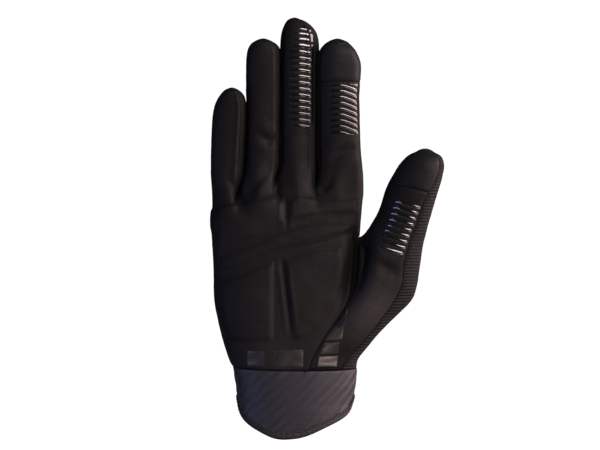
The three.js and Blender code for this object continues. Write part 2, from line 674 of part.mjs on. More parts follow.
// The silicone grips: a thin film on the leather with raised ribs across it
function roundedRectangle({ width, height, round }) {
  const shape = [];
  for (const [cx, cy, start] of [[1, 0, -90], [1, 1, 0], [0, 1, 90], [0, 0, 180]]) {
    const centreX = cx ? width - round : round;
    const centreY = cy ? height - round : round;
    for (const step of [0, 45, 90]) {
      const turn = radians(start + step);
      shape.push([centreX + round * Math.cos(turn), centreY + round * Math.sin(turn)]);
    }
  }
  return shape;
}

function placed(outline, { x, z, tilt }) {
  const origin = new THREE.Vector2(0, 0);
  return outline.map(([u, v]) => {
    const p = new THREE.Vector2(u, v).rotateAround(origin, radians(tilt));
    return [x + p.x, z + p.y];
  });
}

for (const [name, grip] of Object.entries(GRIPS)) {
  const area = palmPrism(placed(roundedRectangle(grip), grip));
  const film = toSolid(wall(panelFaces(grip.panel), PRINT_GAP + PRINT_FILM, () => PRINT_GAP)).intersect(area);
  const relief = toSolid(wall(panelFaces(grip.panel), PRINT_GAP + PRINT_FILM + PRINT_RIB, () => PRINT_GAP));
  const pitch = grip.height / grip.ribs;
  const slope = Math.tan(radians(grip.ribTilt)) * (grip.width + 2);
  let solid = film;
  for (let rib = 0; rib < grip.ribs; rib += 1) {
    const low = pitch * (rib + (1 - RIB_SHARE) / 2) - slope / 2;
    const high = low + pitch * RIB_SHARE;
    const right = grip.width + 1;
    const bar = palmPrism(placed([[-1, low], [right, low + slope], [right, high + slope], [-1, high]], grip));
    solid = solid.add(relief.intersect(bar).intersect(area));
  }
  addPiece(name, toGeometry(solid), silicone);
}

const blockPanels = panelFaces('palm_panel', 'thumb_panel');
const blockLayer = toSolid(wall(blockPanels, PRINT_GAP + BLOCK_THICKNESS, () => PRINT_GAP));
for (const [name, outline] of Object.entries(WRIST_BLOCKS)) {
  addPiece(name, toGeometry(blockLayer.intersect(palmPrism(outline))), silicone);
}

// The cuff: two halves sewn at the sides, and a tape folded round the hem
function cuffSection(z) {
  const rows = CUFF_LEVELS;
  let i = 0;
  while (i < rows.length - 2 && z < rows[i + 1].z) i += 1;
  const share = (rows[i].z - z) / (rows[i].z - rows[i + 1].z);
  const between = (key) => mix(rows[i][key], rows[i + 1][key], share);
  return { x: between('x'), halfWidth: between('halfWidth'), front: between('front'), back: between('back') };
}

function hemHeight(angle) {
  const around = THREE.MathUtils.euclideanModulo(angle + 180, 360) - 180;
  const i = HEM.findIndex((row, j) => j > 0 && around <= row.angle);
  const share = (around - HEM[i - 1].angle) / (HEM[i].angle - HEM[i - 1].angle);
  return mix(HEM[i - 1].z, HEM[i].z, share);
}

function cuffPoint(angle, z, distance) {
  const turn = radians(angle);
  const section = cuffSection(z);
  const depth = Math.cos(turn) > 0 ? section.front : section.back;
  const place = new THREE.Vector3(
    section.x + section.halfWidth * bend(Math.sin(turn), PALM_POWER),
    -depth * bend(Math.cos(turn), PALM_POWER),
    z,
  );
  const out = new THREE.Vector3(
    bend(Math.sin(turn), PALM_POWER / (PALM_POWER - 1)) / section.halfWidth,
    -bend(Math.cos(turn), PALM_POWER / (PALM_POWER - 1)) / depth,
    0,
  );
  return place.addScaledVector(out.normalize(), distance);
}

// A strip of wall swept round the wrist: profile(angle) gives the points of the wall's section, in order
function sweep(angles, profile, isClosed) {
  const rings = angles.map((angle) => profile(angle));
  const sides = rings[0].length;
  const index = [];
  const last = isClosed ? rings.length : rings.length - 1;
  for (let i = 0; i < last; i += 1) {
    const next = (i + 1) % rings.length;
    for (let j = 0; j < sides; j += 1) {
      const after = (j + 1) % sides;
      const a = i * sides + j;
      const b = i * sides + after;
      const c = next * sides + after;
      const d = next * sides + j;
      index.push(a, b, c, a, c, d);
    }
  }
  if (!isClosed) {
    const half = sides / 2;
    const end = (rings.length - 1) * sides;
    for (let j = 0; j < half - 1; j += 1) {
      const [a, b, c, d] = [j, j + 1, sides - 2 - j, sides - 1 - j];
      index.push(a, c, b, a, d, c);
      index.push(end + a, end + b, end + c, end + a, end + c, end + d);
    }
  }
  const geometry = new THREE.BufferGeometry().setFromPoints(rings.flat());
  geometry.setIndex(index);
  return geometry;
}

function outwardFacing(geometry) {
  const solid = toSolid(geometry);
  if (solid.volume() > 0) return geometry;
  const turned = geometry.clone();
  const order = turned.index.array;
  for (let i = 0; i < order.length; i += 3) [order[i + 1], order[i + 2]] = [order[i + 2], order[i + 1]];
  return turned;
}

function cuffProfile(angle) {
  const seam = cuffPoint(angle, PALM_LEVELS[0].z, 0);
  const top = wristSeam(seam.x, seam.y) - SEAM_GAP;
  const low = hemHeight(angle) + BINDING_SKIN + BINDING_SLOT;
  const heights = [];
  for (let step = 0; step <= CUFF_STEPS; step += 1) heights.push(mix(top, low, step / CUFF_STEPS));
  const outer = heights.map((z) => cuffPoint(angle, z, 0));
  const inner = heights.map((z) => cuffPoint(angle, z, -CUFF_WALL)).reverse();
  return [...outer, ...inner];
}

// Angles from one seam to the next in even steps, with the first and last drawn in by half the seam's gap
function anglesBetween(from, to) {
  const angles = [];
  for (let angle = from; angle <= to; angle += CUFF_TURN) angles.push(angle);
  const half = 0.4;
  angles[0] += half;
  angles[angles.length - 1] -= half;
  return angles;
}

const frontAngles = anglesBetween(-CUFF_SEAM_ANGLE, CUFF_SEAM_ANGLE);
const backAngles = anglesBetween(CUFF_SEAM_ANGLE, 360 - CUFF_SEAM_ANGLE);
addPiece('cuff_front', outwardFacing(sweep(frontAngles, cuffProfile, false)), cuffFabric);
addPiece('cuff_back', outwardFacing(sweep(backAngles, cuffProfile, false)), cuffFabric);

function bindingProfile(angle) {
  const low = hemHeight(angle);
  const high = low + BINDING_HEIGHT;
  const floor = low + BINDING_SKIN;
  const outside = BINDING_SLOT + BINDING_SKIN;
  const inside = -CUFF_WALL - BINDING_SLOT - BINDING_SKIN;
  return [
    cuffPoint(angle, low, outside - 0.4),
    cuffPoint(angle, low + 0.5, outside),
    cuffPoint(angle, high, outside),
    cuffPoint(angle, high, BINDING_SLOT),
    cuffPoint(angle, floor, BINDING_SLOT),
    cuffPoint(angle, floor, -CUFF_WALL - BINDING_SLOT),
    cuffPoint(angle, high, -CUFF_WALL - BINDING_SLOT),
    cuffPoint(angle, high, inside),
    cuffPoint(angle, low + 0.5, inside),
    cuffPoint(angle, low, inside + 0.4),
  ];
}

const hemAngles = Array.from({ length: 360 / CUFF_TURN }, (unused, i) => i * CUFF_TURN);
addPiece('cuff_binding', outwardFacing(sweep(hemAngles, bindingProfile, true)), bindingTape);

export default glove;
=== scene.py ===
"""A black full-finger cycling glove for the right hand, filled out as it is when worn.

The glove's surface is one smooth cage, cut into the same panels as the frame's. Fingers point up (+Z), the
palm faces -Y and the thumb points to +X. Tables are in millimetres, as the frame's own drawing is, and pieces
in metres.
"""

import functools
import json
import math
from collections import namedtuple

import bpy
import numpy as np
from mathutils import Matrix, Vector, noise
from mathutils.bvhtree import BVHTree
from mathutils.kdtree import KDTree


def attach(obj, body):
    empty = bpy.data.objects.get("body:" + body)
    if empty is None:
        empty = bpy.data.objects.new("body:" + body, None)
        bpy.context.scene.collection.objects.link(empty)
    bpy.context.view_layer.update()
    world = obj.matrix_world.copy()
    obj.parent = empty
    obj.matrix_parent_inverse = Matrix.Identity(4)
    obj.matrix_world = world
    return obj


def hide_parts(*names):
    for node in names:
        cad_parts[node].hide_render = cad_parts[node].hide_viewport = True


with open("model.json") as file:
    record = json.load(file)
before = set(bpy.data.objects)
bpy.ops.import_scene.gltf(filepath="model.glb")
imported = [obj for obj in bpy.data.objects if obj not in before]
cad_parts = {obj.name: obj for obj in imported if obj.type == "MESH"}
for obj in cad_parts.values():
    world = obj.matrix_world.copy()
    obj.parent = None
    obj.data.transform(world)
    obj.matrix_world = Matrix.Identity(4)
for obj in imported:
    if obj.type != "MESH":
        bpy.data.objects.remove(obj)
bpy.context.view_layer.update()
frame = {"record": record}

bl_info = {
    "name": "Cycling glove",
    "version": (1, 0, 0),
    "blender": (4, 5, 0),
    "location": "3D View > Sidebar > Glove",
    "description": "Builds a full-finger cycling glove round its frame",
    "category": "Object",
}

MM = 0.001
SMOOTHING = 3

# The palm and back below the fingers, a row for each level from the wrist seam up. rise is the share of each
# column's own height that the level takes, and web is how far it is pinched in between two fingers.
PalmLevel = namedtuple("PalmLevel", "z ulnar radial front back seam rise web")
PALM_LEVELS = [
    PalmLevel(40.4, -36.2, 35.6, 21.0, 20.0, 7.5, 0.0, 0.0),
    PalmLevel(58.5, -42.0, 36.0, 22.0, 18.5, 16.6, 0.0, 0.0),
    PalmLevel(77.5, -46.1, 37.0, 21.0, 17.0, 29.0, 0.0, 0.0),
    PalmLevel(96.4, -46.7, 37.4, 19.0, 16.0, 32.1, 0.0, 0.0),
    PalmLevel(115.4, -47.8, 37.4, 17.5, 15.2, 34.0, 0.0, 0.0),
    PalmLevel(124.2, -48.8, 37.8, 16.5, 14.6, 31.0, 0.3, 0.0),
    PalmLevel(133.0, -48.9, 38.6, 15.5, 13.8, 28.0, 0.65, 0.1),
    PalmLevel(142.0, -47.8, 39.6, 13.8, 12.6, 25.0, 1.0, 0.4),
]
PALM_POWER = 2.4
FLAT_POWER = 2.9
THUMB_LEVELS = 8
WRIST_TILT = 0.05
WRIST_ULNAR_RISE = 1.0
EDGE_SHARE = 0.035
EDGE_Y = 1.5
WIDEST_SHARE = 0.985
# The columns past the leather's seam start at this share of the way to the edge
BEYOND_SEAM = 0.45

# Where the fingers part: x and z of each web, from the little finger's outer side to the index finger's
Web = namedtuple("Web", "x z")
WEBS = [Web(-45.4, 134.0), Web(-31.4, 138.3), Web(-9.2, 147.0), Web(13.6, 144.8), Web(37.2, 142.0)]
WEB_DEPTH = 0.6
WEB_BACK_DROP = 4.0
WEB_RISE = 2.5
WEB_WIDTH = 1.4
FINGER_GAP = 0.3
FINGER_SLANT = math.radians(15)
FINGER_Y = -0.5
FINGERTIP_DOME = 1.4
CURL_POWER = 1.6

# Each finger, a row for each section from its root to its tip. twist turns the palm side to the little
# finger. seam is the angle of the leather's edge on the thumb's side, front the angle of the point before it,
# and front_power how square the leather is there.
Section = namedtuple("Section", "z x half_width half_depth")
Finger = namedtuple("Finger", "name twist curl front seam front_power tip_z sections")
FINGERS = [
    Finger("little", 12, 8, 23, 46, 2.5, 201.1, [
        Section(149.2, -38.4, 9.6, 9.6),
        Section(159.6, -38.1, 10.1, 9.0),
        Section(171.1, -37.6, 10.1, 8.8),
        Section(182.5, -37.1, 10.1, 8.6),
        Section(190.6, -36.4, 9.3, 8.2),
        Section(195.7, -36.0, 7.2, 7.0),
        Section(199.2, -36.0, 4.3, 4.8),
    ]),
    Finger("ring", 8, 7, 28, 56, 2.5, 229.2, [
        Section(155.0, -18.6, 10.2, 10.4),
        Section(167.0, -18.1, 10.2, 9.7),
        Section(180.0, -17.8, 10.2, 9.5),
        Section(194.0, -17.8, 10.2, 9.3),
        Section(208.4, -17.8, 10.2, 9.2),
        Section(218.0, -17.7, 9.9, 8.9),
        Section(223.6, -17.7, 8.8, 7.9),
        Section(227.2, -18.0, 5.4, 5.6),
    ]),
    Finger("middle", 3, 5, 30, 42, 2.0, 241.2, [
        Section(157.0, 2.5, 11.2, 10.8),
        Section(171.1, 2.6, 11.2, 10.2),
        Section(185.4, 2.6, 11.2, 10.0),
        Section(199.8, 2.6, 11.2, 9.8),
        Section(214.1, 2.7, 11.2, 9.7),
        Section(226.5, 2.7, 11.0, 8.8),
        Section(233.4, 2.3, 9.6, 7.4),
        Section(237.8, 1.2, 6.8, 5.5),
        Section(240.1, -0.1, 3.4, 3.6),
    ]),
    Finger("index", 2, 5, 30, 60, 2.5, 229.2, [
        Section(156.0, 25.9, 12.9, 11.2),
        Section(170.0, 25.2, 12.5, 10.7),
        Section(184.0, 25.0, 12.3, 10.4),
        Section(195.0, 24.8, 12.2, 10.2),
        Section(204.3, 25.1, 12.5, 10.0),
        Section(213.5, 25.2, 12.7, 9.6),
        Section(219.4, 24.7, 11.6, 9.1),
        Section(223.6, 24.3, 9.4, 8.0),
        Section(227.2, 24.4, 5.6, 5.6),
    ]),
]
FINGER_POWER = 2.5
INDEX_TIP_Z = 204.3
# The other points of a finger's section: those before front, and those after seam, round the back
LEFT_ANGLES = [-60, -30, 0]
BACK_ANGLES = [103, 126, 150, 180, 210, 240, 281]

# The thumb, a row for each section, from the crotch side (inner) to the outer side, in x and z. lean is how
# far the outer side stands in front of the inner one, and blend mixes the section with the edge it starts
# from, so that the ball of the thumb grows out of the palm.
ThumbRow = namedtuple("ThumbRow", "inner_x inner_z outer_x outer_z y half_depth twist lean blend")
THUMB_ROWS = [
    ThumbRow(37.9, 115.6, 37.0, 49.4, -2.0, 20.5, 5, 0.0, 0.45),
    ThumbRow(38.5, 115.9, 51.3, 64.6, -5.0, 19.5, 8, 0.0, 0.15),
    ThumbRow(39.4, 117.0, 66.1, 78.8, -8.0, 18.0, 28, 0.0, 0.0),
    ThumbRow(41.0, 119.2, 70.3, 91.0, -10.0, 16.0, 38, 1.0, 0.0),
    ThumbRow(43.9, 123.4, 72.3, 107.0, -11.5, 14.2, 34, 4.0, 0.0),
    ThumbRow(48.1, 131.4, 75.3, 120.4, -13.0, 13.0, 29, 6.0, 0.0),
    ThumbRow(51.7, 142.4, 79.0, 133.6, -15.0, 12.4, 27, 6.0, 0.0),
    ThumbRow(55.5, 150.1, 82.7, 145.0, -16.0, 11.6, 16, 5.0, 0.0),
    ThumbRow(60.4, 158.0, 84.9, 155.4, -17.0, 9.8, 11, 3.0, 0.0),
    ThumbRow(65.8, 162.8, 82.9, 161.8, -17.5, 6.4, 14, 1.0, 0.0),
]
THUMB_TIP_ROW = 13
THUMB_TIP_RISE = 3.6
THUMB_POWER = 2.2
THUMB_ANGLES = [*range(-40, 50, 10), 60, 80, 100, 120, *range(140, 230, 10), 240, 260, 280, 300]

PANELS = [
    "palm_panel",
    "index_tip_panel",
    "thumb_panel",
    "thumb_tip_panel",
    "back_panel",
    "thumb_back_panel",
    "side_strip_little_ring",
    "side_strip_ring_middle",
    "side_strip_middle_index",
]
STRIPS = PANELS[6:]
LEATHERS = PANELS[:4]

# The foam pads under the palm leather, as outlines in x and z
PADS = {
    "ulnar_knuckle": [
        (-44.5, 108.4), (-44.8, 134.0), (-30.5, 135.5), (-12.0, 139.5), (-6.2, 136.0), (-6.2, 124.0),
        (-20.0, 116.2), (-31.0, 112.0),
    ],
    "radial_knuckle": [
        (-3.6, 124.2), (-3.6, 136.0), (1.0, 140.0), (12.0, 138.5), (34.5, 137.0), (35.5, 128.6),
        (15.0, 127.6),
    ],
    "crease": [
        (-43.8, 95.0), (-42.5, 104.4), (-29.0, 109.2), (-9.0, 118.2), (3.0, 121.8), (15.0, 123.8),
        (33.0, 123.8), (32.0, 118.2), (14.0, 112.6), (-8.0, 108.4), (-25.0, 100.6),
    ],
    "ulnar_heel": [
        (-37.6, 56.0), (-42.0, 72.0), (-43.2, 89.0), (-26.0, 96.4), (-11.6, 102.2), (-11.6, 60.0),
        (-12.6, 56.0),
    ],
    "radial_heel": [
        (-1.6, 58.0), (-6.2, 101.0), (2.0, 105.0), (14.0, 109.0), (26.0, 109.6), (28.6, 99.0), (27.0, 88.0),
        (22.4, 77.0), (14.0, 66.0), (6.2, 58.0), (2.6, 56.0),
    ],
}

# Folds pressed into the palm side: the line each one follows in x and z, and its depth and width
Fold = namedtuple("Fold", "name line depth width")
FOLDS = [
    Fold("little finger bend", [(-46.5, 156.7), (-39.6, 155.6), (-31.6, 157.8)], 0.5, 2.4),
    Fold("ring finger bend", [(-22.5, 174.0), (-15.2, 170.5), (-9.0, 171.2)], 1.4, 2.6),
    Fold("middle finger bend", [(-6.3, 174.2), (1.1, 173.4), (9.8, 174.6)], 0.5, 2.4),
    Fold("index finger bend", [(19.6, 158.5), (26.8, 163.8), (35.6, 166.0)], 1.3, 2.8),
    Fold("little finger root", [(-38.6, 149.2), (-33.7, 142.4), (-31.0, 136.6), (-27.6, 130.3)], 0.9, 2.0),
    Fold("ring finger root", [(-13.0, 155.0), (-20.5, 148.0), (-27.5, 139.5)], 0.8, 2.2),
    Fold("ring and middle", [(-9.6, 147.0), (-10.6, 141.0), (-7.6, 136.0)], 1.0, 1.8),
    Fold("middle and index, low", [(13.6, 144.8), (16.8, 142.6), (21.8, 149.0)], 0.9, 1.6),
    Fold("middle and index, high", [(17.0, 148.5), (22.5, 154.0), (30.0, 157.0)], 0.5, 2.0),
    Fold("between the knuckle pads", [(-5.2, 138.9), (-5.0, 130.0), (-4.8, 120.7)], 0.7, 1.3),
    Fold("between the heel pads", [(-7.4, 102.2), (-5.6, 90.0), (-3.9, 76.0), (-2.4, 61.4)], 1.3, 1.2),
    Fold("thumb web", [(38.4, 116.0), (37.2, 106.0), (35.2, 95.0), (32.0, 82.0)], 4.2, 4.2),
    Fold("thumb bend", [(46.0, 101.5), (52.0, 97.6), (59.0, 94.0)], 0.9, 3.0),
    Fold("thumb, upper bend", [(45.5, 121.0), (51.0, 117.0), (57.0, 113.0)], 0.4, 2.2),
]

# The moulded silicone grips: the area each one covers in x and z, its ribs and how far they dip to the right,
# over what width they fade at each side, and the share of their height that is left at the top and the bottom
Grip = namedtuple("Grip", (
    "x z width height corner tilt ribs dip dip_start left_fade right_fade top_share low_share"))
GRIPS = {
    "middle_grip": Grip(-6.2, 177.0, 17.2, 60.0, 6.5, 0.0, 17, 1.1, 0.5, 9.5, 1.0, 0.4, 1.0),
    "index_grip": Grip(17.4, 173.4, 19.2, 30.0, 1.2, 0.0, 9, 3.0, 0.45, 8.5, 0.01, 1.0, 1.0),
    "thumb_grip": Grip(45.7, 109.4, 16.5, 31.0, 1.2, -20.5, 9, 0.0, 1.0, 3.0, 1.6, 1.0, 0.8),
}
RIB_SHARE = 0.92
FILM_SINK = 0.12
BLOCK_RISE = 0.16

# The plain glossy blocks of the wrist grip, as four corners in x and z, and how far the seam under one lifts
# its lower edge
WRIST_BLOCKS = {
    "wrist_grip_1": [(-27.0, 42.0), (-17.4, 42.0), (-17.4, 50.8), (-27.0, 50.6)],
    "wrist_grip_2": [(-12.4, 42.0), (4.6, 42.0), (4.6, 51.6), (-12.4, 51.0)],
    "wrist_grip_3": [(12.6, 42.0), (23.4, 42.0), (24.4, 47.8), (13.8, 47.4)],
    "wrist_grip_4": [(14.2, 49.0), (24.6, 49.4), (25.4, 55.6), (15.8, 55.2)],
    "wrist_grip_5": [(16.6, 56.8), (26.6, 57.2), (30.4, 78.0), (25.6, 71.2)],
}
BLOCK_LIFTS = {"wrist_grip_3": 0.8}

# The cuff, a row for each level from the wrist seam down
CuffLevel = namedtuple("CuffLevel", "z x half_width front back")
CUFF_LEVELS = [
    CuffLevel(44.0, -0.3, 36.4, 21.0, 20.0),
    CuffLevel(39.0, 0.2, 35.3, 20.8, 19.8),
    CuffLevel(30.0, 0.6, 34.0, 20.4, 19.4),
    CuffLevel(20.0, 0.1, 32.8, 20.0, 19.0),
    CuffLevel(0.0, -0.6, 32.2, 19.8, 18.8),
]
# The hem's height round the wrist. The angle is 0 at the middle of the palm side and grows towards the thumb.
HemPoint = namedtuple("HemPoint", "angle z")
HEM = [
    HemPoint(-180, 17.0), HemPoint(-90, 21.0), HemPoint(-75, 15.0), HemPoint(-60, 10.3), HemPoint(-46, 7.0),
    HemPoint(-33, 4.2), HemPoint(-23, 1.8), HemPoint(-14, 0.2), HemPoint(-3, 0.0), HemPoint(8, 1.6),
    HemPoint(20, 4.5), HemPoint(31, 7.1), HemPoint(47, 10.2), HemPoint(66, 13.6), HemPoint(90, 21.0),
    HemPoint(180, 17.0),
]
CUFF_SEAM_ANGLE = 70
BINDING_HEIGHT = 4.6
BINDING_THICKNESS = 0.5
BINDING_GAP = 0.15
TWILL_PITCH = 5.2
FINE_TWILL_SHARE = 0.47
TWILL_ANGLE = math.radians(48)
CUFF_GAP_ANGLE = 0.4

# Stitches: how far beside its seam or pad each line runs, how thick its thread is, and where the hem's are
TIP_SEAM_OFFSET = 1.6
BALL_SEAM_OFFSET = 1.8
PAD_OFFSET = 0.9
SEAM_THREAD = 0.42
PAD_THREAD = 0.36
HEM_THREAD = 0.45
HEM_STITCHES = 84
HEM_STITCH_HEIGHT = 3.3
HEM_STITCH_RISE = 0.7

# How the cloth is shaped
SHOULDER_RISE = 0.3
PAD_OVERHANG = 0.4
PAD_CROWN = 0.14
PAD_CROWN_REACH = 9.0
BROAD_WRINKLES = 0.32
FINE_WRINKLES = 0.13
SMOOTH_NEAR_SEAM = 3.0
SMOOTH_ROUND_GRIP = 3.0
PANEL_INSET = 0.12
CUFF_PUFF = 0.2
CUFF_WAVES = 0.22
CUFF_DRIFT = 0.12
WRIST_DIP = 0.12
WRIST_DIP_WIDTH = 1.1
SIDE_DIP = 0.1
SIDE_DIP_WIDTH = 2.0
PUCKERS = 74
PUCKER_DEPTH = 0.12

# How the grips and blocks are laid on the leather
SHEET_SINK = 0.4
EVEN_DEGREE = 5
EVEN_ROUNDS = 60
BLUR_SHARE = 0.15
TOP_FADE_START = 0.66
TOP_FADE_WIDTH = 0.2
LOW_FADE_WIDTH = 0.3
BLOCK_EDGE = 2.6

FAR = 1e9


def mix(a, b, share):
    return a + (b - a) * share


def smooth(value):
    """0 below 0, 1 above 1 and an even curve between."""
    share = np.clip(value, 0.0, 1.0)
    return share * share * (3 - 2 * share)


def bend(value, power):
    """A superellipse's cosine or sine, so that a section is rounder or squarer than an ellipse."""
    return np.sign(value) * np.abs(value) ** (2 / power)


def with_middles(rows):
    """The rows with one more between each two, on a smooth curve through them all."""
    table = np.array(rows, dtype=float)
    middles = [(3 * table[0] + 6 * table[1] - table[2]) / 8]
    for i in range(1, len(table) - 2):
        middles.append((9 * (table[i] + table[i + 1]) - table[i - 1] - table[i + 2]) / 16)
    middles.append((3 * table[-1] + 6 * table[-2] - table[-3]) / 8)
    kind = type(rows[0])
    both = []
    for i, middle in enumerate(middles):
        both += [rows[i], kind(*middle)]
    return both + [rows[-1]]


def slot_colour(slot):
    """The base colour that the record gives a material slot."""
    for entry in frame["record"]["materials"]:
        if entry["slot"] == slot:
            return tuple(entry["base_color"])
    raise ValueError(f"the record has no material slot {slot}")


def length_property(name, description, millimetres):
    return bpy.props.FloatProperty(
        name=name, description=description, default=millimetres * MM, unit="LENGTH")


def colour_property(slot, description):
    name = slot.replace("_", " ").capitalize()
    return bpy.props.FloatVectorProperty(
        name=name, description=description, subtype="COLOR", default=slot_colour(slot))


class GloveSizes(bpy.types.PropertyGroup):
    leather: length_property("Leather", "Thickness of the palm leather", 1.5)
    fabric: length_property("Fabric", "Thickness of the stretch fabric", 1.4)
    cuff: length_property("Cuff", "Thickness of the elastic cuff", 2.0)
    pad_rise: length_property("Pad rise", "How far the foam pads stand out", 1.25)
    pad_edge: length_property("Pad edge", "Width of a pad's sloping edge", 3.6)
    seam_depth: length_property("Seam depth", "How deep a seam is drawn in", 0.32)
    seam_width: length_property("Seam width", "How wide a seam's groove is", 1.0)
    rib_rise: length_property("Rib rise", "Height of the silicone ribs", 0.46)
    twill_rise: length_property("Twill rise", "Height of the cuff's diagonal ribs", 0.13)
    stitch_length: length_property("Stitch length", "Length of one stitch", 1.7)
    stitch_pitch: length_property("Stitch pitch", "From one stitch to the next", 2.4)


class GloveColours(bpy.types.PropertyGroup):
    palm_leather: colour_property("palm_leather", "Colour of the palm leather")
    tip_leather: colour_property("tip_leather", "Colour of the smooth fingertip patches")
    stretch_fabric: colour_property("stretch_fabric", "Colour of the ribbed back")
    side_fabric: colour_property("side_fabric", "Colour of the strips between the fingers")
    cuff_fabric: colour_property("cuff_fabric", "Colour of the elastic cuff")
    hem_tape: colour_property("hem_tape", "Colour of the tape round the hem")
    silicone: colour_property("silicone", "Colour of the moulded grips")


# The smooth cage


class Cage:
    """The glove's whole outer surface as four-sided faces, each marked with the panel that it is cut from."""

    def __init__(self):
        self.places = []
        self.faces = []
        self.panels = []

    def point(self, x, y, z):
        self.places.append((float(x), float(y), float(z)))
        return len(self.places) - 1

    def face(self, panel, *corners):
        self.faces.append(corners)
        self.panels.append(PANELS.index(panel))

    def place(self, index):
        return np.array(self.places[index])


# Palm levels: 20 columns across the palm side, 20 across the back and one on each edge, 42 in all. Each
# finger stands on five columns.
COLUMNS = 19
RADIAL_EDGE = 20
ULNAR_EDGE = 41
RING = 42
SEAM_COLUMN = 17
THUMB_BACK = 22
LEVELS = with_middles(PALM_LEVELS)
TOP_LEVEL = len(LEVELS) - 1


def top_column(column):
    """Where a column ends between the webs: x, z, and how near it is to the middle of its finger."""
    finger, step = divmod(column, 5)
    share = step / 4
    low, high = WEBS[finger], WEBS[finger + 1]
    low_x = low.x + (WEB_WIDTH / 2 if finger > 0 else 0)
    high_x = high.x - (WEB_WIDTH / 2 if finger < 3 else 0)
    return mix(low_x, high_x, share), mix(low.z, high.z, share), math.sin(math.pi * share)


def column_x(level, column, is_front):
    row = LEVELS[level]
    edge = EDGE_SHARE * (row.radial - row.ulnar)
    first = row.ulnar + edge / 2
    last = row.radial - edge
    at_web = 0 < column < COLUMNS and column % 5 in (0, 4)
    slant = math.tan(FINGER_SLANT) * row.front * WEB_DEPTH * (-1 if is_front else 1)
    top = top_column(column)[0] + (slant if at_web else 0)
    share = float(np.clip((level - THUMB_LEVELS) / (TOP_LEVEL - THUMB_LEVELS), 0, 1))
    if not is_front:
        return mix(mix(first, last, column / COLUMNS), top, share)
    if column <= SEAM_COLUMN:
        at_seam = mix(first, row.seam, column / SEAM_COLUMN)
    else:
        past_seam = (column - SEAM_COLUMN) / (COLUMNS - SEAM_COLUMN)
        at_seam = mix(row.seam, last, past_seam * (1 - BEYOND_SEAM) + BEYOND_SEAM)
    return mix(at_seam, top, share)


def wrist_seam(x, y):
    """The height of the seam above the cuff."""
    row = LEVELS[0]
    return row.z + WRIST_TILT * y + WRIST_ULNAR_RISE * np.maximum(0, x / row.ulnar) ** 2


def palm_place(level, column, is_front):
    row = LEVELS[level]
    middle = (row.ulnar + row.radial) / 2
    half = (row.radial - row.ulnar) / 2
    x = column_x(level, column, is_front)
    top_z, crown = top_column(column)[1:]
    across = min(WIDEST_SHARE, abs((x - middle) / half))
    power = mix(PALM_POWER, FLAT_POWER, float(smooth(level / 4))) if is_front else PALM_POWER
    away = (1 - across ** power) ** (1 / power) * (1 - row.web * (1 - crown))
    y = -row.front * away if is_front else row.back * away
    rise = (top_z - LEVELS[TOP_LEVEL].z) * row.rise
    drop = 0 if is_front else WEB_BACK_DROP * row.rise * (1 - crown)
    z = wrist_seam(x, y) if level == 0 else row.z + rise - drop
    return x, y, z


def edge_place(level, is_radial):
    row = LEVELS[level]
    end = WEBS[4] if is_radial else WEBS[0]
    x = row.radial if is_radial else row.ulnar
    z = wrist_seam(x, EDGE_Y) if level == 0 else row.z + (end.z - LEVELS[TOP_LEVEL].z) * row.rise
    return x, EDGE_Y, z


def add_hand(cage):
    """Palm and back from the wrist seam to the webs. Points in the ball of the thumb are left out, as -1."""
    rings = []
    for level in range(TOP_LEVEL + 1):
        in_thumb = 0 < level < THUMB_LEVELS
        front = [-1 if in_thumb and column > SEAM_COLUMN else cage.point(*palm_place(level, column, True))
                 for column in range(COLUMNS + 1)]
        radial = -1 if in_thumb else cage.point(*edge_place(level, True))
        back = [-1 if in_thumb and column == COLUMNS else cage.point(*palm_place(level, column, False))
                for column in range(COLUMNS, -1, -1)]
        rings.append([*front, radial, *back, cage.point(*edge_place(level, False))])
    for level in range(TOP_LEVEL):
        low, high = rings[level], rings[level + 1]
        for k in range(RING):
            if level < THUMB_LEVELS and SEAM_COLUMN <= k < THUMB_BACK:
                continue
            after = (k + 1) % RING
            panel = "palm_panel" if k <= COLUMNS or k == ULNAR_EDGE else "back_panel"
            cage.face(panel, low[k], low[after], high[after], high[k])
    return rings


def finger_middle_y(finger, z):
    first = finger.sections[0].z
    along = np.clip((z - first) / (finger.tip_z - first), 0, 1)
    return FINGER_Y - finger.curl * along ** CURL_POWER


def finger_at(finger, z):
    """x and half width of a finger at a height."""
    heights = [s.z for s in finger.sections] + [finger.tip_z]
    xs = [s.x for s in finger.sections] + [finger.sections[-1].x]
    halves = [s.half_width for s in finger.sections] + [0]
    return float(np.interp(z, heights, xs)), float(np.interp(z, heights, halves))


def keep_apart(place, index, z):
    """Fingers lie against each other: a point past the slanted line between two of them moves back."""
    across = np.array([math.cos(FINGER_SLANT), -math.sin(FINGER_SLANT)])
    for other, side in ((index + 1, 1), (index - 1, -1)):
        if not 0 <= other < len(FINGERS):
            continue
        left, right = FINGERS[min(index, other)], FINGERS[max(index, other)]
        left_x, left_half = finger_at(left, z)
        right_x, right_half = finger_at(right, z)
        middle = np.array([
            (left_x + left_half + right_x - right_half) / 2,
            (finger_middle_y(left, z) + finger_middle_y(right, z)) / 2,
        ])
        past = np.dot(place - middle, across) * side + FINGER_GAP / 2
        if past > 0:
            place = place - across * side * past
    return place


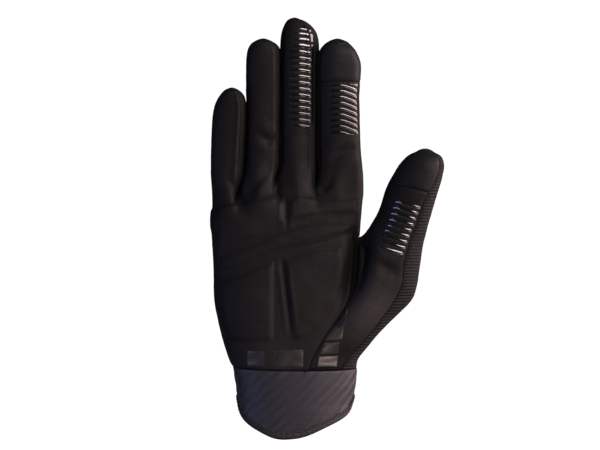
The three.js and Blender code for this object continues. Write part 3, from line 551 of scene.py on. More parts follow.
def finger_ring(cage, index, section):
    finger = FINGERS[index]
    angles = [*LEFT_ANGLES, finger.front, finger.seam, *BACK_ANGLES]
    turns = np.radians(angles)
    power = np.full(len(angles), FINGER_POWER)
    power[3:5] = finger.front_power
    across = bend(np.sin(turns), power) * section.half_width
    depth = -bend(np.cos(turns), power) * section.half_depth
    twist = -math.radians(finger.twist)
    x = across * math.cos(twist) - depth * math.sin(twist)
    y = across * math.sin(twist) + depth * math.cos(twist)
    x = x * section.half_width / np.abs(x).max()
    middle_y = finger_middle_y(finger, section.z)
    ring = []
    for dx, dy in zip(x, y):
        place = keep_apart(np.array([section.x + dx, middle_y + dy]), index, section.z)
        ring.append(cage.point(place[0], place[1], section.z))
    return ring


def finger_panel(index, k, is_tip):
    palm = "index_tip_panel" if is_tip else "palm_panel"
    if k <= 3:
        return palm
    if k == 4:
        return STRIPS[index] if index < 3 else palm
    if k == 5:
        return STRIPS[index] if index < 3 else "back_panel"
    if k <= 9:
        return "back_panel"
    if index > 0:
        return STRIPS[index - 1]
    return "back_panel" if k == 10 else palm


def add_finger(cage, index, top_ring, web_middles):
    finger = FINGERS[index]
    front = [top_ring[index * 5 + j] for j in range(5)]
    back = [top_ring[2 * RADIAL_EDGE - (index * 5 + j)] for j in range(4, -1, -1)]
    right = top_ring[RADIAL_EDGE] if index == 3 else web_middles[index][0]
    left = top_ring[ULNAR_EDGE] if index == 0 else web_middles[index - 1][1]
    ring = [*front, right, *back, left]
    low_z = -1
    for section in with_middles(finger.sections):
        above = finger_ring(cage, index, section)
        is_tip = index == 3 and low_z > INDEX_TIP_Z - 0.1
        for k in range(12):
            after = (k + 1) % 12
            cage.face(finger_panel(index, k, is_tip), ring[k], ring[after], above[after], above[k])
        ring = above
        low_z = section.z
    low, high = cage.place(ring[11]), cage.place(ring[5])
    middle_row = [ring[11]]
    for share in (0.25, 0.5, 0.75):
        dome = mix(low[2], finger.tip_z, 1 - (2 * share - 1) ** 2 * FINGERTIP_DOME)
        x, y, _ = mix(low, high, share)
        middle_row.append(cage.point(x, y, dome))
    middle_row.append(ring[5])
    palm = "index_tip_panel" if index == 3 else "palm_panel"
    for j in range(4):
        cage.face(palm, ring[j], ring[j + 1], middle_row[j + 1], middle_row[j])
        cage.face("back_panel", middle_row[j], middle_row[j + 1], ring[9 - j], ring[10 - j])


def add_fingers(cage, top_ring):
    web_middles = []
    for web in WEBS[1:4]:
        sides = (web.x - WEB_WIDTH / 2, web.x + WEB_WIDTH / 2)
        web_middles.append([cage.point(x, 0, web.z + WEB_RISE) for x in sides])
    for index in range(len(FINGERS)):
        add_finger(cage, index, top_ring, web_middles)
    for web, (left, right) in enumerate(web_middles):
        column = web * 5 + 4
        behind = 2 * RADIAL_EDGE - column
        cage.face(STRIPS[web], top_ring[column], top_ring[column + 1], right, left)
        cage.face(STRIPS[web], left, right, top_ring[behind - 1], top_ring[behind])


def thumb_ring(cage, base, row):
    middle = np.array([(row.inner_x + row.outer_x) / 2, row.y, (row.inner_z + row.outer_z) / 2])
    across = np.array([row.outer_x - row.inner_x, -row.lean, row.outer_z - row.inner_z]) / 2
    forward = np.array([0, -row.half_depth, 0])
    ring = []
    for angle, start in zip(THUMB_ANGLES, base):
        turn = math.radians(angle - row.twist)
        place = middle + across * bend(math.sin(turn), THUMB_POWER)
        place = place + forward * bend(math.cos(turn), THUMB_POWER)
        ring.append(cage.point(*mix(place, cage.place(start), max(0.0, row.blend))))
    return ring


def add_thumb(cage, rings):
    """The thumb's rings have 9 points on the palm side, 4 outside, 9 on the back and 4 in the crotch."""
    wrist, crotch = rings[0], rings[THUMB_LEVELS]
    base = [
        *[rings[level][SEAM_COLUMN] for level in range(THUMB_LEVELS, -1, -1)],
        *wrist[SEAM_COLUMN + 1:THUMB_BACK],
        *[rings[level][THUMB_BACK] for level in range(THUMB_LEVELS + 1)],
        *crotch[THUMB_BACK - 1:SEAM_COLUMN:-1],
    ]
    sides = len(base)
    ring = base
    rows = with_middles(THUMB_ROWS)
    for station, row in enumerate(rows):
        above = thumb_ring(cage, base, row)
        leather = "thumb_tip_panel" if station > THUMB_TIP_ROW else "thumb_panel"
        for k in range(sides):
            after = (k + 1) % sides
            panel = leather if k < 9 or k == sides - 1 else "thumb_back_panel"
            cage.face(panel, ring[k], ring[after], above[after], above[k])
        ring = above
    add_thumb_end(cage, ring, rows[-1])


def add_thumb_end(cage, ring, row):
    axis = np.array([row.inner_z - row.outer_z, 0, row.outer_x - row.inner_x])
    axis = axis / np.linalg.norm(axis)
    grid = [ring[:9]]
    for r in range(1, 5):
        start, end = ring[26 - r], ring[8 + r]
        inner = []
        for c in range(1, 8):
            side = mix(cage.place(start), cage.place(end), c / 8)
            straight = mix(cage.place(ring[c]), cage.place(ring[21 - c]), r / 5)
            dome = (1 - (2 * r / 5 - 1) ** 2) * (1 - (c / 4 - 1) ** 2)
            inner.append(cage.point(*(mix(straight, side, 0.5) + axis * THUMB_TIP_RISE * dome)))
        grid.append([start, *inner, end])
    grid.append(ring[21:12:-1])
    for r in range(5):
        panel = "thumb_tip_panel" if r == 0 else "thumb_back_panel"
        for c in range(8):
            cage.face(panel, grid[r][c], grid[r][c + 1], grid[r + 1][c + 1], grid[r + 1][c])


# The smooth surface


def subdivided(places, faces, panels, levels):
    """The smooth surface of a cage: its points, outward directions, faces and each face's panel."""
    mesh = bpy.data.meshes.new("cage")
    mesh.from_pydata([tuple(p) for p in places], [], faces)
    for _ in PANELS:
        mesh.materials.append(None)
    mesh.polygons.foreach_set("material_index", panels)
    cage_object = bpy.data.objects.new("cage", mesh)
    bpy.context.scene.collection.objects.link(cage_object)
    modifier = cage_object.modifiers.new("smooth", "SUBSURF")
    modifier.levels = levels
    modifier.use_limit_surface = True
    view = bpy.context.evaluated_depsgraph_get()
    smooth_object = cage_object.evaluated_get(view)
    result = smooth_object.to_mesh()
    points = np.empty(len(result.vertices) * 3)
    result.vertices.foreach_get("co", points)
    normals = np.empty(len(result.vertices) * 3)
    result.vertex_normals.foreach_get("vector", normals)
    corners = np.empty(len(result.loops), dtype=np.int64)
    result.loops.foreach_get("vertex_index", corners)
    kinds = np.empty(len(result.polygons), dtype=np.int64)
    result.polygons.foreach_get("material_index", kinds)
    smooth_object.to_mesh_clear()
    bpy.data.objects.remove(cage_object)
    bpy.data.meshes.remove(mesh)
    return points.reshape(-1, 3), normals.reshape(-1, 3), corners.reshape(-1, 4), kinds


def fitted(cage, rounds=4):
    """Cage points moved so that the smooth surface passes through the places the tables give."""
    wanted = np.array(cage.places)
    places = wanted.copy()
    for _ in range(rounds):
        points = subdivided(places, cage.faces, cage.panels, 1)[0]
        places += 0.9 * (wanted - points[:len(wanted)])
    return places


def from_stretch(x, z, start, end):
    """The distance from each point to a straight stretch, and how far along it the nearest place is."""
    (ax, az), (bx, bz) = start, end
    square = (bx - ax) ** 2 + (bz - az) ** 2
    share = np.clip(((x - ax) * (bx - ax) + (z - az) * (bz - az)) / square, 0, 1)
    return np.hypot(x - ax - share * (bx - ax), z - az - share * (bz - az)), share


def outline_depth(x, z, outline):
    """How far inside an outline each point is, and below zero outside."""
    corners = np.array(outline)
    depth = np.full(x.shape, FAR)
    inside = np.zeros(x.shape, dtype=bool)
    for start, end in zip(corners, np.roll(corners, -1, axis=0)):
        depth = np.minimum(depth, from_stretch(x, z, start, end)[0])
        (ax, az), (bx, bz) = start, end
        crosses = (az > z) != (bz > z)
        inside ^= crosses & (x < ax + (z - az) * (bx - ax) / np.where(bz == az, 1, bz - az))
    return np.where(inside, depth, -depth)


def grip_outline(grip):
    """A grip's four corners in x and z."""
    tilt = math.radians(grip.tilt)
    right = np.array([math.cos(tilt), math.sin(tilt)]) * grip.width
    up = np.array([-math.sin(tilt), math.cos(tilt)]) * grip.height
    start = np.array([grip.x, grip.z])
    return [start, start + right, start + right + up, start + up]


def line_distance(x, z, line):
    """The distance from each point to a line, and how far along it the nearest place is, from 0 to 1."""
    best = np.full(x.shape, FAR)
    along = np.zeros(x.shape)
    stretches = list(zip(line, line[1:]))
    for i, (start, end) in enumerate(stretches):
        away, share = from_stretch(x, z, start, end)
        nearer = away < best
        best = np.where(nearer, away, best)
        along = np.where(nearer, (i + share) / len(stretches), along)
    return best, along


def fall_off(distance, width):
    """1 at no distance, falling in an even curve to nearly 0 at twice the width."""
    return np.exp(-(distance / width) ** 2)


def pressed_in(distance, width, shoulder_place, shoulder_width):
    """A groove of depth 1 with a low shoulder on each side, both placed in widths of the groove."""
    shoulder = fall_off(distance - shoulder_place * width, shoulder_width * width)
    return SHOULDER_RISE * shoulder - fall_off(distance, width)


def unevenness(x, y, z):
    """Smooth noise at each place."""
    places = np.stack(np.broadcast_arrays(x, y, z), axis=-1)
    values = [noise.noise(Vector(place)) for place in places.reshape(-1, 3)]
    return np.array(values).reshape(places.shape[:-1])


def quad_edges(quads):
    return np.concatenate([quads[:, [i, (i + 1) % 4]] for i in range(4)])


def towards_middles(points, quads):
    """For each point, the ways to the middles of the faces round it, added up."""
    middles = points[quads].mean(axis=1)
    pull = np.zeros_like(points)
    for i in range(4):
        np.add.at(pull, quads[:, i], middles - points[quads[:, i]])
    return pull


def grid_quads(rows, columns):
    """The faces of a grid of points."""
    index = np.arange(rows * columns).reshape(rows, columns)
    corners = [index[:-1, :-1], index[:-1, 1:], index[1:, 1:], index[1:, :-1]]
    return np.stack(corners, axis=-1).reshape(-1, 4)


def border_edges(quads, panels):
    """Edges between two panels, as an array of point pairs with the panels on both sides (-1 where open)."""
    edges = quad_edges(quads)
    owners = np.tile(panels, 4)
    ordered = np.sort(edges, axis=1)
    codes = ordered[:, 0] * (quads.max() + 1) + ordered[:, 1]
    order = np.argsort(codes, kind="stable")
    codes, ordered, owners = codes[order], ordered[order], owners[order]
    starts = np.flatnonzero(np.r_[True, codes[1:] != codes[:-1]])
    counts = np.diff(np.r_[starts, len(codes)])
    first = owners[starts]
    second = np.where(counts > 1, owners[np.minimum(starts + 1, len(owners) - 1)], -1)
    is_border = first != second
    return ordered[starts][is_border], np.stack([first, second], axis=1)[is_border]


class Surface:
    """The glove's outer surface in millimetres, with pads, folds, seams and creases pressed into it."""

    def __init__(self, sizes):
        cage = Cage()
        rings = add_hand(cage)
        add_fingers(cage, rings[TOP_LEVEL])
        add_thumb(cage, rings)
        places = fitted(cage)
        self.base, self.normals, self.quads, self.panels = subdivided(
            places, cage.faces, cage.panels, SMOOTHING)
        self.edges, self.sides = border_edges(self.quads, self.panels)
        self.facing = smooth((-self.normals[:, 1] - 0.15) / 0.5)
        self.height = self.seams(sizes) + self.pads(sizes) + self.folds() + self.wrinkles()
        self.outer = self.base + self.normals * self.height[:, None]
        self.tree = BVHTree.FromPolygons(self.outer.tolist(), self.quads.tolist())

    def on_panels(self, *names):
        """Which points belong to the named panels."""
        chosen = np.isin(self.panels, [PANELS.index(name) for name in names])
        mask = np.zeros(len(self.base), dtype=bool)
        mask[self.quads[chosen].ravel()] = True
        return mask

    def seams(self, sizes):
        """Each seam is drawn in, and the cloth beside it stands up a little."""
        ends = self.base[self.edges]
        marks = np.concatenate([mix(ends[:, 0], ends[:, 1], share) for share in (0, 0.25, 0.5, 0.75)])
        tree = KDTree(len(marks))
        for i, mark in enumerate(marks):
            tree.insert(mark, i)
        tree.balance()
        self.seam_distance = np.array([tree.find(place)[2] for place in self.base])
        width = sizes.seam_width / MM
        flatter = 1 - 0.8 * smooth((self.normals[:, 2] - 0.3) / 0.4)
        return sizes.seam_depth / MM * pressed_in(self.seam_distance, width, 2.4, 1.3) * flatter

    def pads(self, sizes):
        x, z = self.base[:, 0], self.base[:, 2]
        rise = np.zeros(len(x))
        for outline in PADS.values():
            depth = outline_depth(x, z, outline)
            edge = smooth((depth + PAD_OVERHANG) / (sizes.pad_edge / MM))
            crown = (1 - PAD_CROWN) + PAD_CROWN * smooth(depth / PAD_CROWN_REACH)
            rise = np.maximum(rise, edge * crown)
        return rise * self.facing * self.on_panels("palm_panel") * sizes.pad_rise / MM

    def folds(self):
        x, z = self.base[:, 0], self.base[:, 2]
        total = np.zeros(len(x))
        for fold in FOLDS:
            away, along = line_distance(x, z, fold.line)
            taper = np.sqrt(np.clip(np.sin(math.pi * np.clip(along, 0.02, 0.98)), 0, 1))
            total += fold.depth * taper * pressed_in(away, fold.width, 2.2, 1.2)
        return total * self.facing

    def wrinkles(self):
        """Slight unevenness: broad on all cloth, and finer where a finger or the thumb bends."""
        x, y, z = self.base.T
        broad = unevenness(x / 14, y / 14, z / 11)
        fine = unevenness(x / 6 + 9, y / 6, z / 3.4)
        height = BROAD_WRINKLES * broad + FINE_WRINKLES * fine
        under_grip = np.zeros(len(x))
        for grip in GRIPS.values():
            depth = outline_depth(x, z, grip_outline(grip))
            near = smooth((depth + SMOOTH_ROUND_GRIP) / SMOOTH_ROUND_GRIP)
            under_grip = np.maximum(under_grip, near * self.facing)
        return height * smooth(self.seam_distance / SMOOTH_NEAR_SEAM) * (1 - under_grip)

    def chain(self, first, second):
        """The seam between two panels as points in order along it."""
        pair = {PANELS.index(first), PANELS.index(second)}
        marked = zip(self.edges.tolist(), self.sides.tolist())
        chosen = [edge for edge, sides in marked if set(sides) == pair]
        beside = {}
        for a, b in chosen:
            beside.setdefault(a, []).append(b)
            beside.setdefault(b, []).append(a)
        lines = []
        left = set(beside)
        while left:
            ends = sorted(v for v in left if len([n for n in beside[v] if n in left]) == 1)
            at = ends[0] if ends else min(left)
            line = [at]
            left.discard(at)
            while True:
                ahead = [n for n in beside[at] if n in left]
                if not ahead:
                    break
                at = ahead[0]
                left.discard(at)
                line.append(at)
            if len(line) > 4:
                lines.append(line)
        return lines

    def nearest(self, place):
        """The nearest place on the surface and the outward direction there."""
        at, normal = self.tree.find_nearest(Vector(place))[:2]
        return np.array(at), np.array(normal)

    def ahead(self, x, z):
        """y of the palm side at a place in x and z."""
        hit = self.tree.ray_cast(Vector((x, -80, z)), Vector((0, 1, 0)))[0]
        if hit is None:
            raise ValueError(f"nothing of the glove is at x {x:.1f}, z {z:.1f}")
        return hit.y


@functools.lru_cache(maxsize=1)
def glove_surface():
    return Surface(bpy.context.scene.glove_sizes)


# Pieces


def add_piece(name, points, faces, material, slot, *nodes):
    """A mesh from points in millimetres, as one piece of the glove."""
    mesh = bpy.data.meshes.new(name)
    mesh.from_pydata((np.asarray(points) * MM).tolist(), [], faces)
    mesh.materials.append(material)
    mesh.shade_smooth()
    piece = bpy.data.objects.new(name, mesh)
    bpy.context.scene.collection.objects.link(piece)
    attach(piece, "root")
    if nodes:
        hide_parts(*nodes)
    return piece


def open_rim(quads, count):
    """The edges that only one face has."""
    edges = quad_edges(quads)
    codes = edges[:, 0] * count + edges[:, 1]
    backward = edges[:, 1] * count + edges[:, 0]
    return edges[~np.isin(codes, backward)]


def closed_wall(outer, inner, quads):
    """Points and faces of a wall between two layers of the same quads, closed round every open edge."""
    count = len(outer)
    rim = open_rim(quads, count)
    walls = np.stack([rim[:, 0], rim[:, 0] + count, rim[:, 1] + count, rim[:, 1]], axis=1)
    faces = np.concatenate([quads, quads[:, ::-1] + count, walls])
    return np.concatenate([outer, inner]), faces.tolist()


def closed_sheet(top, bottom):
    """Points and faces of a closed sheet between two grids of points."""
    return closed_wall(top.reshape(-1, 3), bottom.reshape(-1, 3), grid_quads(*top.shape[:2]))


def panel_piece(name, thickness, material, slot):
    """One panel of the surface as a closed wall, its edge drawn in from the seam."""
    surface = glove_surface()
    chosen = surface.quads[surface.panels == PANELS.index(name)]
    used, local = np.unique(chosen, return_inverse=True)
    quads = local.reshape(-1, 4)
    outer = surface.outer[used]
    sunk = np.minimum(surface.height[used], 0) - thickness / MM
    inner = surface.base[used] + surface.normals[used] * sunk[:, None]
    pull = towards_middles(outer, quads)
    edge = np.unique(open_rim(quads, len(outer)))
    inward = pull[edge] / np.linalg.norm(pull[edge], axis=1, keepdims=True)
    outer[edge] += PANEL_INSET * inward
    inner[edge] += PANEL_INSET * inward
    points, faces = closed_wall(outer, inner, quads)
    return add_piece(name, points, faces, material, slot, name)


def blurred(grid, rounds):
    """A grid of values with each one drawn towards its neighbours, edges kept."""
    for _ in range(rounds):
        padded = np.pad(grid, 1, mode="reflect", reflect_type="odd")
        around = padded[:-2, 1:-1] + padded[2:, 1:-1] + padded[1:-1, :-2] + padded[1:-1, 2:]
        grid = grid * (1 - 4 * BLUR_SHARE) + around * BLUR_SHARE
    return grid


def evened(x, z, y):
    """y as a smooth curved face through the grid, and what is left over from it blurred away."""
    across = (x - x.mean()) / np.ptp(x) * 2
    up = (z - z.mean()) / np.ptp(z) * 2
    powers = range(EVEN_DEGREE + 1)
    terms = np.stack([across ** i * up ** j for i in powers for j in powers], axis=-1)
    terms = terms.reshape(-1, terms.shape[-1])
    weights = np.linalg.lstsq(terms, y.ravel(), rcond=None)[0]
    face = (terms @ weights).reshape(y.shape)
    return face + blurred(y - face, EVEN_ROUNDS)


def laid_sheet(x, z, rise):
    """A closed sheet laid on the palm side over a grid in x and z, rising by rise."""
    y = evened(x, z, np.vectorize(glove_surface().ahead)(x, z))
    places = np.stack([x, y, z], axis=-1)
    across = np.gradient(places, axis=1)
    along = np.gradient(places, axis=0)
    normal = np.cross(across, along)
    normal /= np.linalg.norm(normal, axis=-1, keepdims=True)
    return closed_sheet(places + normal * rise[..., None], places - normal * SHEET_SINK)


def grip_piece(name, grip, rib_rise, material):
    """Ribs rounded along both edges and fading out at both ends, on a film that is sunk into the leather."""
    steps = 5
    columns = int(grip.width * steps)
    rows = int(grip.height * steps)
    v = np.linspace(0, grip.height, rows)
    from_end = np.minimum(v, grip.height - v)
    into_corner = np.clip(grip.corner - from_end, 0, None)
    inset = grip.corner - np.sqrt(np.clip(grip.corner ** 2 - into_corner ** 2, 0, None))
    share = np.linspace(0, 1, columns)
    u = inset[:, None] + (grip.width - 2 * inset[:, None]) * share[None, :]
    v = np.repeat(v[:, None], columns, axis=1)
    tilt = math.radians(grip.tilt)
    x = grip.x + u * math.cos(tilt) - v * math.sin(tilt)
    z = grip.z + u * math.sin(tilt) + v * math.cos(tilt)
    pitch = grip.height / grip.ribs
    dip = grip.dip * smooth((u / grip.width - grip.dip_start) / (1 - grip.dip_start)) if grip.dip else 0
    phase = ((v + dip) / pitch) % 1.0
    from_middle = np.abs(phase - 0.5) / (RIB_SHARE / 2)
    rib = np.clip(1 - from_middle ** 2, 0, 1)
    reach = grip.width - 2 * inset[:, None]
    from_left = share[None, :] * reach
    from_right = (1 - share)[None, :] * reach
    fade = smooth(from_left / grip.left_fade) * smooth(from_right / grip.right_fade)
    fade = fade * smooth((from_end[:, None] - 0.1) / 0.5)
    fade = fade * mix(1.0, grip.top_share, smooth((v / grip.height - TOP_FADE_START) / TOP_FADE_WIDTH))
    fade = fade * mix(grip.low_share, 1.0, smooth(v / grip.height / LOW_FADE_WIDTH))
    points, faces = laid_sheet(x, z, rib * fade * rib_rise / MM - FILM_SINK)
    return add_piece(name, points, faces, material, "silicone", name)


def block_piece(name, corners, material):
    """A plain glossy block with eased edges."""
    steps = 26
    closer = (1 - np.cos(math.pi * np.linspace(0, 1, steps))) / 2
    s, t = np.meshgrid(closer, closer)
    (ax, az), (bx, bz), (cx, cz), (dx, dz) = corners
    x = mix(mix(ax, bx, s), mix(dx, cx, s), t)
    z = mix(mix(az, bz, s), mix(dz, cz, s), t)
    depth = outline_depth(x, z, corners)
    rise = BLOCK_RISE * smooth(np.clip(depth, 0, None) / BLOCK_EDGE + 0.5)
    rise = rise + BLOCK_LIFTS.get(name, 0.0) * (1 - t)
    points, faces = laid_sheet(x, z, rise)
    return add_piece(name, points, faces, material, "silicone", name)


# The cuff


def cuff_places(angle, z, distance):
    """Places on the cuff at angles and heights, and how far out from its face, in arrays of one shape."""
    heights = [level.z for level in reversed(CUFF_LEVELS)]
    between = {key: np.interp(z, heights, [getattr(level, key) for level in reversed(CUFF_LEVELS)])
               for key in ("x", "half_width", "front", "back")}
    sine, cosine = np.sin(np.radians(angle)), np.cos(np.radians(angle))
    depth = np.where(cosine > 0, between["front"], between["back"])
    x = between["x"] + between["half_width"] * bend(sine, PALM_POWER)
    y = -depth * bend(cosine, PALM_POWER)
    power = PALM_POWER / (PALM_POWER - 1)
    out_x = bend(sine, power) / between["half_width"]
    out_y = -bend(cosine, power) / depth
    length = np.hypot(out_x, out_y)
    return np.stack([x + out_x / length * distance, y + out_y / length * distance, z + 0 * x], axis=-1)


def hem_height(angle):
    """The hem's height: the table's, with its corners eased."""
    table_angles = [point.angle for point in HEM]
    table_heights = [point.z for point in HEM]
    offsets = (-5, -2.5, 0, 2.5, 5)
    samples = [np.interp((angle + d + 180) % 360 - 180, table_angles, table_heights) for d in offsets]
    return sum(samples) / len(samples)


def round_wrist(angle):
    """The way round the wrist from the middle of the palm side to each angle, in millimetres."""
    fine = np.arange(-180.0, 540.5, 1.0)
    ring = cuff_places(fine, 25.0, 0.0)
    way = np.r_[0, np.cumsum(np.linalg.norm(np.diff(ring, axis=0), axis=1))]
    way -= np.interp(0, fine, way)
    return np.interp(angle, fine, way)


def cuff_piece(name, first, last, sizes, material):
    """One half of the cuff, with soft diagonal ribs, drawn in at the wrist seam and the side seams."""
    turn = 1.0
    angles = np.arange(first, last + turn / 2, turn)
    angles[0] += CUFF_GAP_ANGLE
    angles[-1] -= CUFF_GAP_ANGLE
    steps = 60
    share = np.linspace(0, 1, steps)[:, None]
    flat = cuff_places(angles, LEVELS[0].z, 0.0)
    top = wrist_seam(flat[:, 0], flat[:, 1]) - 0.25
    low = hem_height(angles) + 1.0
    z = mix(low, top, share)
    way = round_wrist(angles)
    across = way * math.sin(TWILL_ANGLE) - z * math.cos(TWILL_ANGLE)
    drift = unevenness(across / 9, z / 30, 3)
    turns = 2 * math.pi * across
    fine_twill = np.sin(turns / (TWILL_PITCH * FINE_TWILL_SHARE) + 3 * drift)
    twill = np.sin(turns / TWILL_PITCH + 2.2 * drift) + 0.2 * fine_twill
    seam = fall_off(top - z, WRIST_DIP_WIDTH)
    sides = fall_off(np.minimum(angles - first, last - angles), SIDE_DIP_WIDTH)
    puff = CUFF_PUFF * np.sin(math.pi * np.clip(share, 0, 1)) ** 0.8
    waves = CUFF_WAVES * np.sin(way / 11 + z / 15) * np.sin(math.pi * share)
    rise = twill * sizes.twill_rise / MM + drift * CUFF_DRIFT + puff + waves
    rise = rise * (1 - seam) - WRIST_DIP * seam - SIDE_DIP * sides
    points, faces = closed_sheet(cuff_places(angles, z, rise), cuff_places(angles, z, -sizes.cuff / MM))
    return add_piece(name, points, faces, material, "cuff_fabric", name)


def binding_piece(sizes, material):
    """A tape folded round the hem: rounded at the fold, and pressed in along its line of stitches."""
    turn = 1.5
    angles = np.arange(0, 360, turn)
    low = hem_height(angles)
    front = BINDING_GAP
    back = -sizes.cuff / MM - BINDING_GAP
    outside = front + BINDING_THICKNESS
    inside = back - BINDING_THICKNESS
    middle = (outside + inside) / 2
    half = (outside - inside) / 2
    edge = BINDING_HEIGHT - 0.15
    profile = [(outside - 0.5, BINDING_HEIGHT), (front, edge), (front, 2.0), (back, 2.0), (back, edge)]
    profile += [(inside + 0.5, BINDING_HEIGHT), (inside, 4.0), (inside, 3.0), (inside, 2.2)]
    for step in range(1, 8):
        turn_down = math.pi * step / 8
        profile.append((middle - half * math.cos(turn_down), 1.6 - 1.6 * math.sin(turn_down)))
    for depth, height in ((0, 2.2), (0.05, 2.8), (0.3, 3.3), (0.05, 3.8), (0, 4.3)):
        profile.append((outside - depth, height))
    profile = profile[::-1]
    rings = []
    for distance, height in profile:
        puckers = PUCKER_DEPTH * np.sin(np.radians(angles) * PUCKERS) * (distance > 0)
        rings.append(cuff_places(angles, low + height, distance + puckers))
    grid = np.stack(rings, axis=1)
    count, sides = grid.shape[:2]
    index = np.arange(count * sides).reshape(count, sides)
    after = np.roll(index, -1, axis=0)
    beside = np.roll(index, -1, axis=1)
    across = np.roll(after, -1, axis=1)
    faces = np.stack([index, beside, across, after], axis=-1).reshape(-1, 4).tolist()
    return add_piece("cuff_binding", grid.reshape(-1, 3), faces, material, "hem_tape", "cuff_binding")


# Stitches

STITCH_SIDES = 6
STITCH_ARCH = 0.6
STITCH_SINK = 0.25
STITCH_RINGS = [(-0.86, 0.55), (-0.5, 0.92), (0.0, 1.0), (0.5, 0.92), (0.86, 0.55)]


def one_stitch(middle, along, out, length, thickness):
    """Points and faces of one stitch: a short rounded thread."""
    along = along / np.linalg.norm(along)
    side = np.cross(out, along)
    side /= np.linalg.norm(side)
    up = np.cross(along, side)
    points = [middle - along * length / 2]
    for place, size in STITCH_RINGS:
        arch = up * thickness * (STITCH_ARCH * (1 - place ** 2) - STITCH_SINK)
        for k in range(STITCH_SIDES):
            turn = 2 * math.pi * k / STITCH_SIDES
            round_it = (side * math.cos(turn) + up * math.sin(turn)) * thickness / 2 * size
            points.append(middle + along * length / 2 * place + arch + round_it)
    points.append(middle + along * length / 2)
    last = len(points) - 1
    faces = []
    for k in range(STITCH_SIDES):
        after = (k + 1) % STITCH_SIDES
        faces.append((0, 1 + after, 1 + k))
        for ring in range(len(STITCH_RINGS) - 1):
            start = 1 + ring * STITCH_SIDES
            faces.append((start + k, start + after, start + STITCH_SIDES + after, start + STITCH_SIDES + k))
        start = 1 + (len(STITCH_RINGS) - 1) * STITCH_SIDES
        faces.append((start + k, start + after, last))
    return points, faces


def even_places(line, pitch):
    """Places an even pitch apart along a line of points."""
    line = np.asarray(line)
    way = np.r_[0, np.cumsum(np.linalg.norm(np.diff(line, axis=0), axis=1))]
    stops = np.arange(pitch / 2, way[-1], pitch)
    return np.stack([np.interp(stops, way, line[:, i]) for i in range(line.shape[1])], axis=1)


def stitch_piece(name, lines, sizes, thickness, material, slot):
    """All stitches along lines of (place, outward direction) pairs, as one mesh."""
    points = []
    faces = []
    for places, outs in lines:
        for i in range(len(places)):
            along = places[min(i + 1, len(places) - 1)] - places[max(i - 1, 0)]
            stitch, sides = one_stitch(places[i], along, outs[i], sizes.stitch_length / MM, thickness)
            start = len(points)
            points += stitch
            faces += [tuple(start + corner for corner in side) for side in sides]
    return add_piece(name, points, faces, material, slot)


def on_surface(places):
    """Each place moved to the nearest place on the glove, with the outward directions."""
    surface = glove_surface()
    pairs = [surface.nearest(place) for place in places]
    return np.array([pair[0] for pair in pairs]), np.array([pair[1] for pair in pairs])


def beside_seam(panel, other, offset, pitch):
    """Lines along the seam between two panels, offset into the first one."""
    surface = glove_surface()
    pull = towards_middles(surface.outer, surface.quads[surface.panels == PANELS.index(panel)])
    lines = []
    for chain in surface.chain(panel, other):
        inward = pull[chain]
        inward /= np.maximum(np.linalg.norm(inward, axis=1, keepdims=True), 1e-9)
        places = even_places(surface.outer[chain] + inward * offset, pitch)
        lines.append(on_surface(places))
    return lines


def round_pad(outline, offset, pitch):
    """A line just outside a pad's outline, on the palm."""
    surface = glove_surface()
    corners = np.array(outline)
    middle = corners.mean(axis=0)
    away = corners - middle
    corners = corners + away / np.linalg.norm(away, axis=1, keepdims=True) * offset
    places = even_places(np.vstack([corners, corners[:1]]), pitch)
    return on_surface([(x, surface.ahead(x, z), z) for x, z in places])


# Materials


class Nodes:
    """Adds nodes to a tree and joins them."""

    def __init__(self, tree):
        self.tree = tree

    def feed(self, node, inputs):
        """Sets each input to its value, or joins it to an output."""
        for key, value in inputs.items():
            if isinstance(value, bpy.types.NodeSocket):
                self.tree.links.new(value, node.inputs[key])
            else:
                node.inputs[key].default_value = value

    def add(self, kind, inputs=None, **settings):
        node = self.tree.nodes.new(kind)
        for key, value in settings.items():
            setattr(node, key, value)
        self.feed(node, inputs or {})
        return node

    def math(self, operation, *values):
        return self.add("ShaderNodeMath", dict(enumerate(values)), operation=operation).outputs[0]

    def weighted(self, *parts):
        """The sum of outputs, each one times its weight."""
        scaled_parts = [self.math("MULTIPLY", output, weight) for output, weight in parts]
        return functools.reduce(functools.partial(self.math, "ADD"), scaled_parts)


def new_group(name, inputs, outputs):
    """A node group: its inputs with their defaults, None for a vector, and its outputs, which are numbers."""
    tree = bpy.data.node_groups.new(name, "ShaderNodeTree")
    for label, default in inputs.items():
        kind = "NodeSocketVector" if default is None else "NodeSocketFloat"
        socket = tree.interface.new_socket(label, in_out="INPUT", socket_type=kind)
        if default is not None:
            socket.default_value = default
    for label in outputs:
        tree.interface.new_socket(label, in_out="OUTPUT", socket_type="NodeSocketFloat")
    nodes = Nodes(tree)
    return nodes, nodes.add("NodeGroupInput").outputs, nodes.add("NodeGroupOutput")


@functools.lru_cache(maxsize=1)
def grain_group():
    """Leather grain: small cells with soft folds between them, and a suede nap."""
    nodes, given, result = new_group(
        "Leather grain", {"Vector": None, "Scale": 900.0, "Nap": 0.5}, ["Height", "Tone"])
    cells = nodes.add(
        "ShaderNodeTexVoronoi", {"Vector": given["Vector"], "Scale": given["Scale"]}, feature="SMOOTH_F1")
    nap_scale = nodes.math("MULTIPLY", given["Scale"], 2.2)
    nap = nodes.add("ShaderNodeTexNoise", {"Vector": given["Vector"], "Scale": nap_scale, "Detail": 6.0})
    fibres = nodes.math("MULTIPLY", nap.outputs["Fac"], given["Nap"])
    broad = nodes.add("ShaderNodeTexNoise", {"Vector": given["Vector"], "Scale": 38.0, "Detail": 4.0})
    nodes.feed(result, {
        "Height": nodes.math("ADD", cells.outputs["Distance"], fibres),
        "Tone": nodes.weighted((broad.outputs["Fac"], 0.7), (nap.outputs["Fac"], 0.3)),
    })
    return nodes.tree


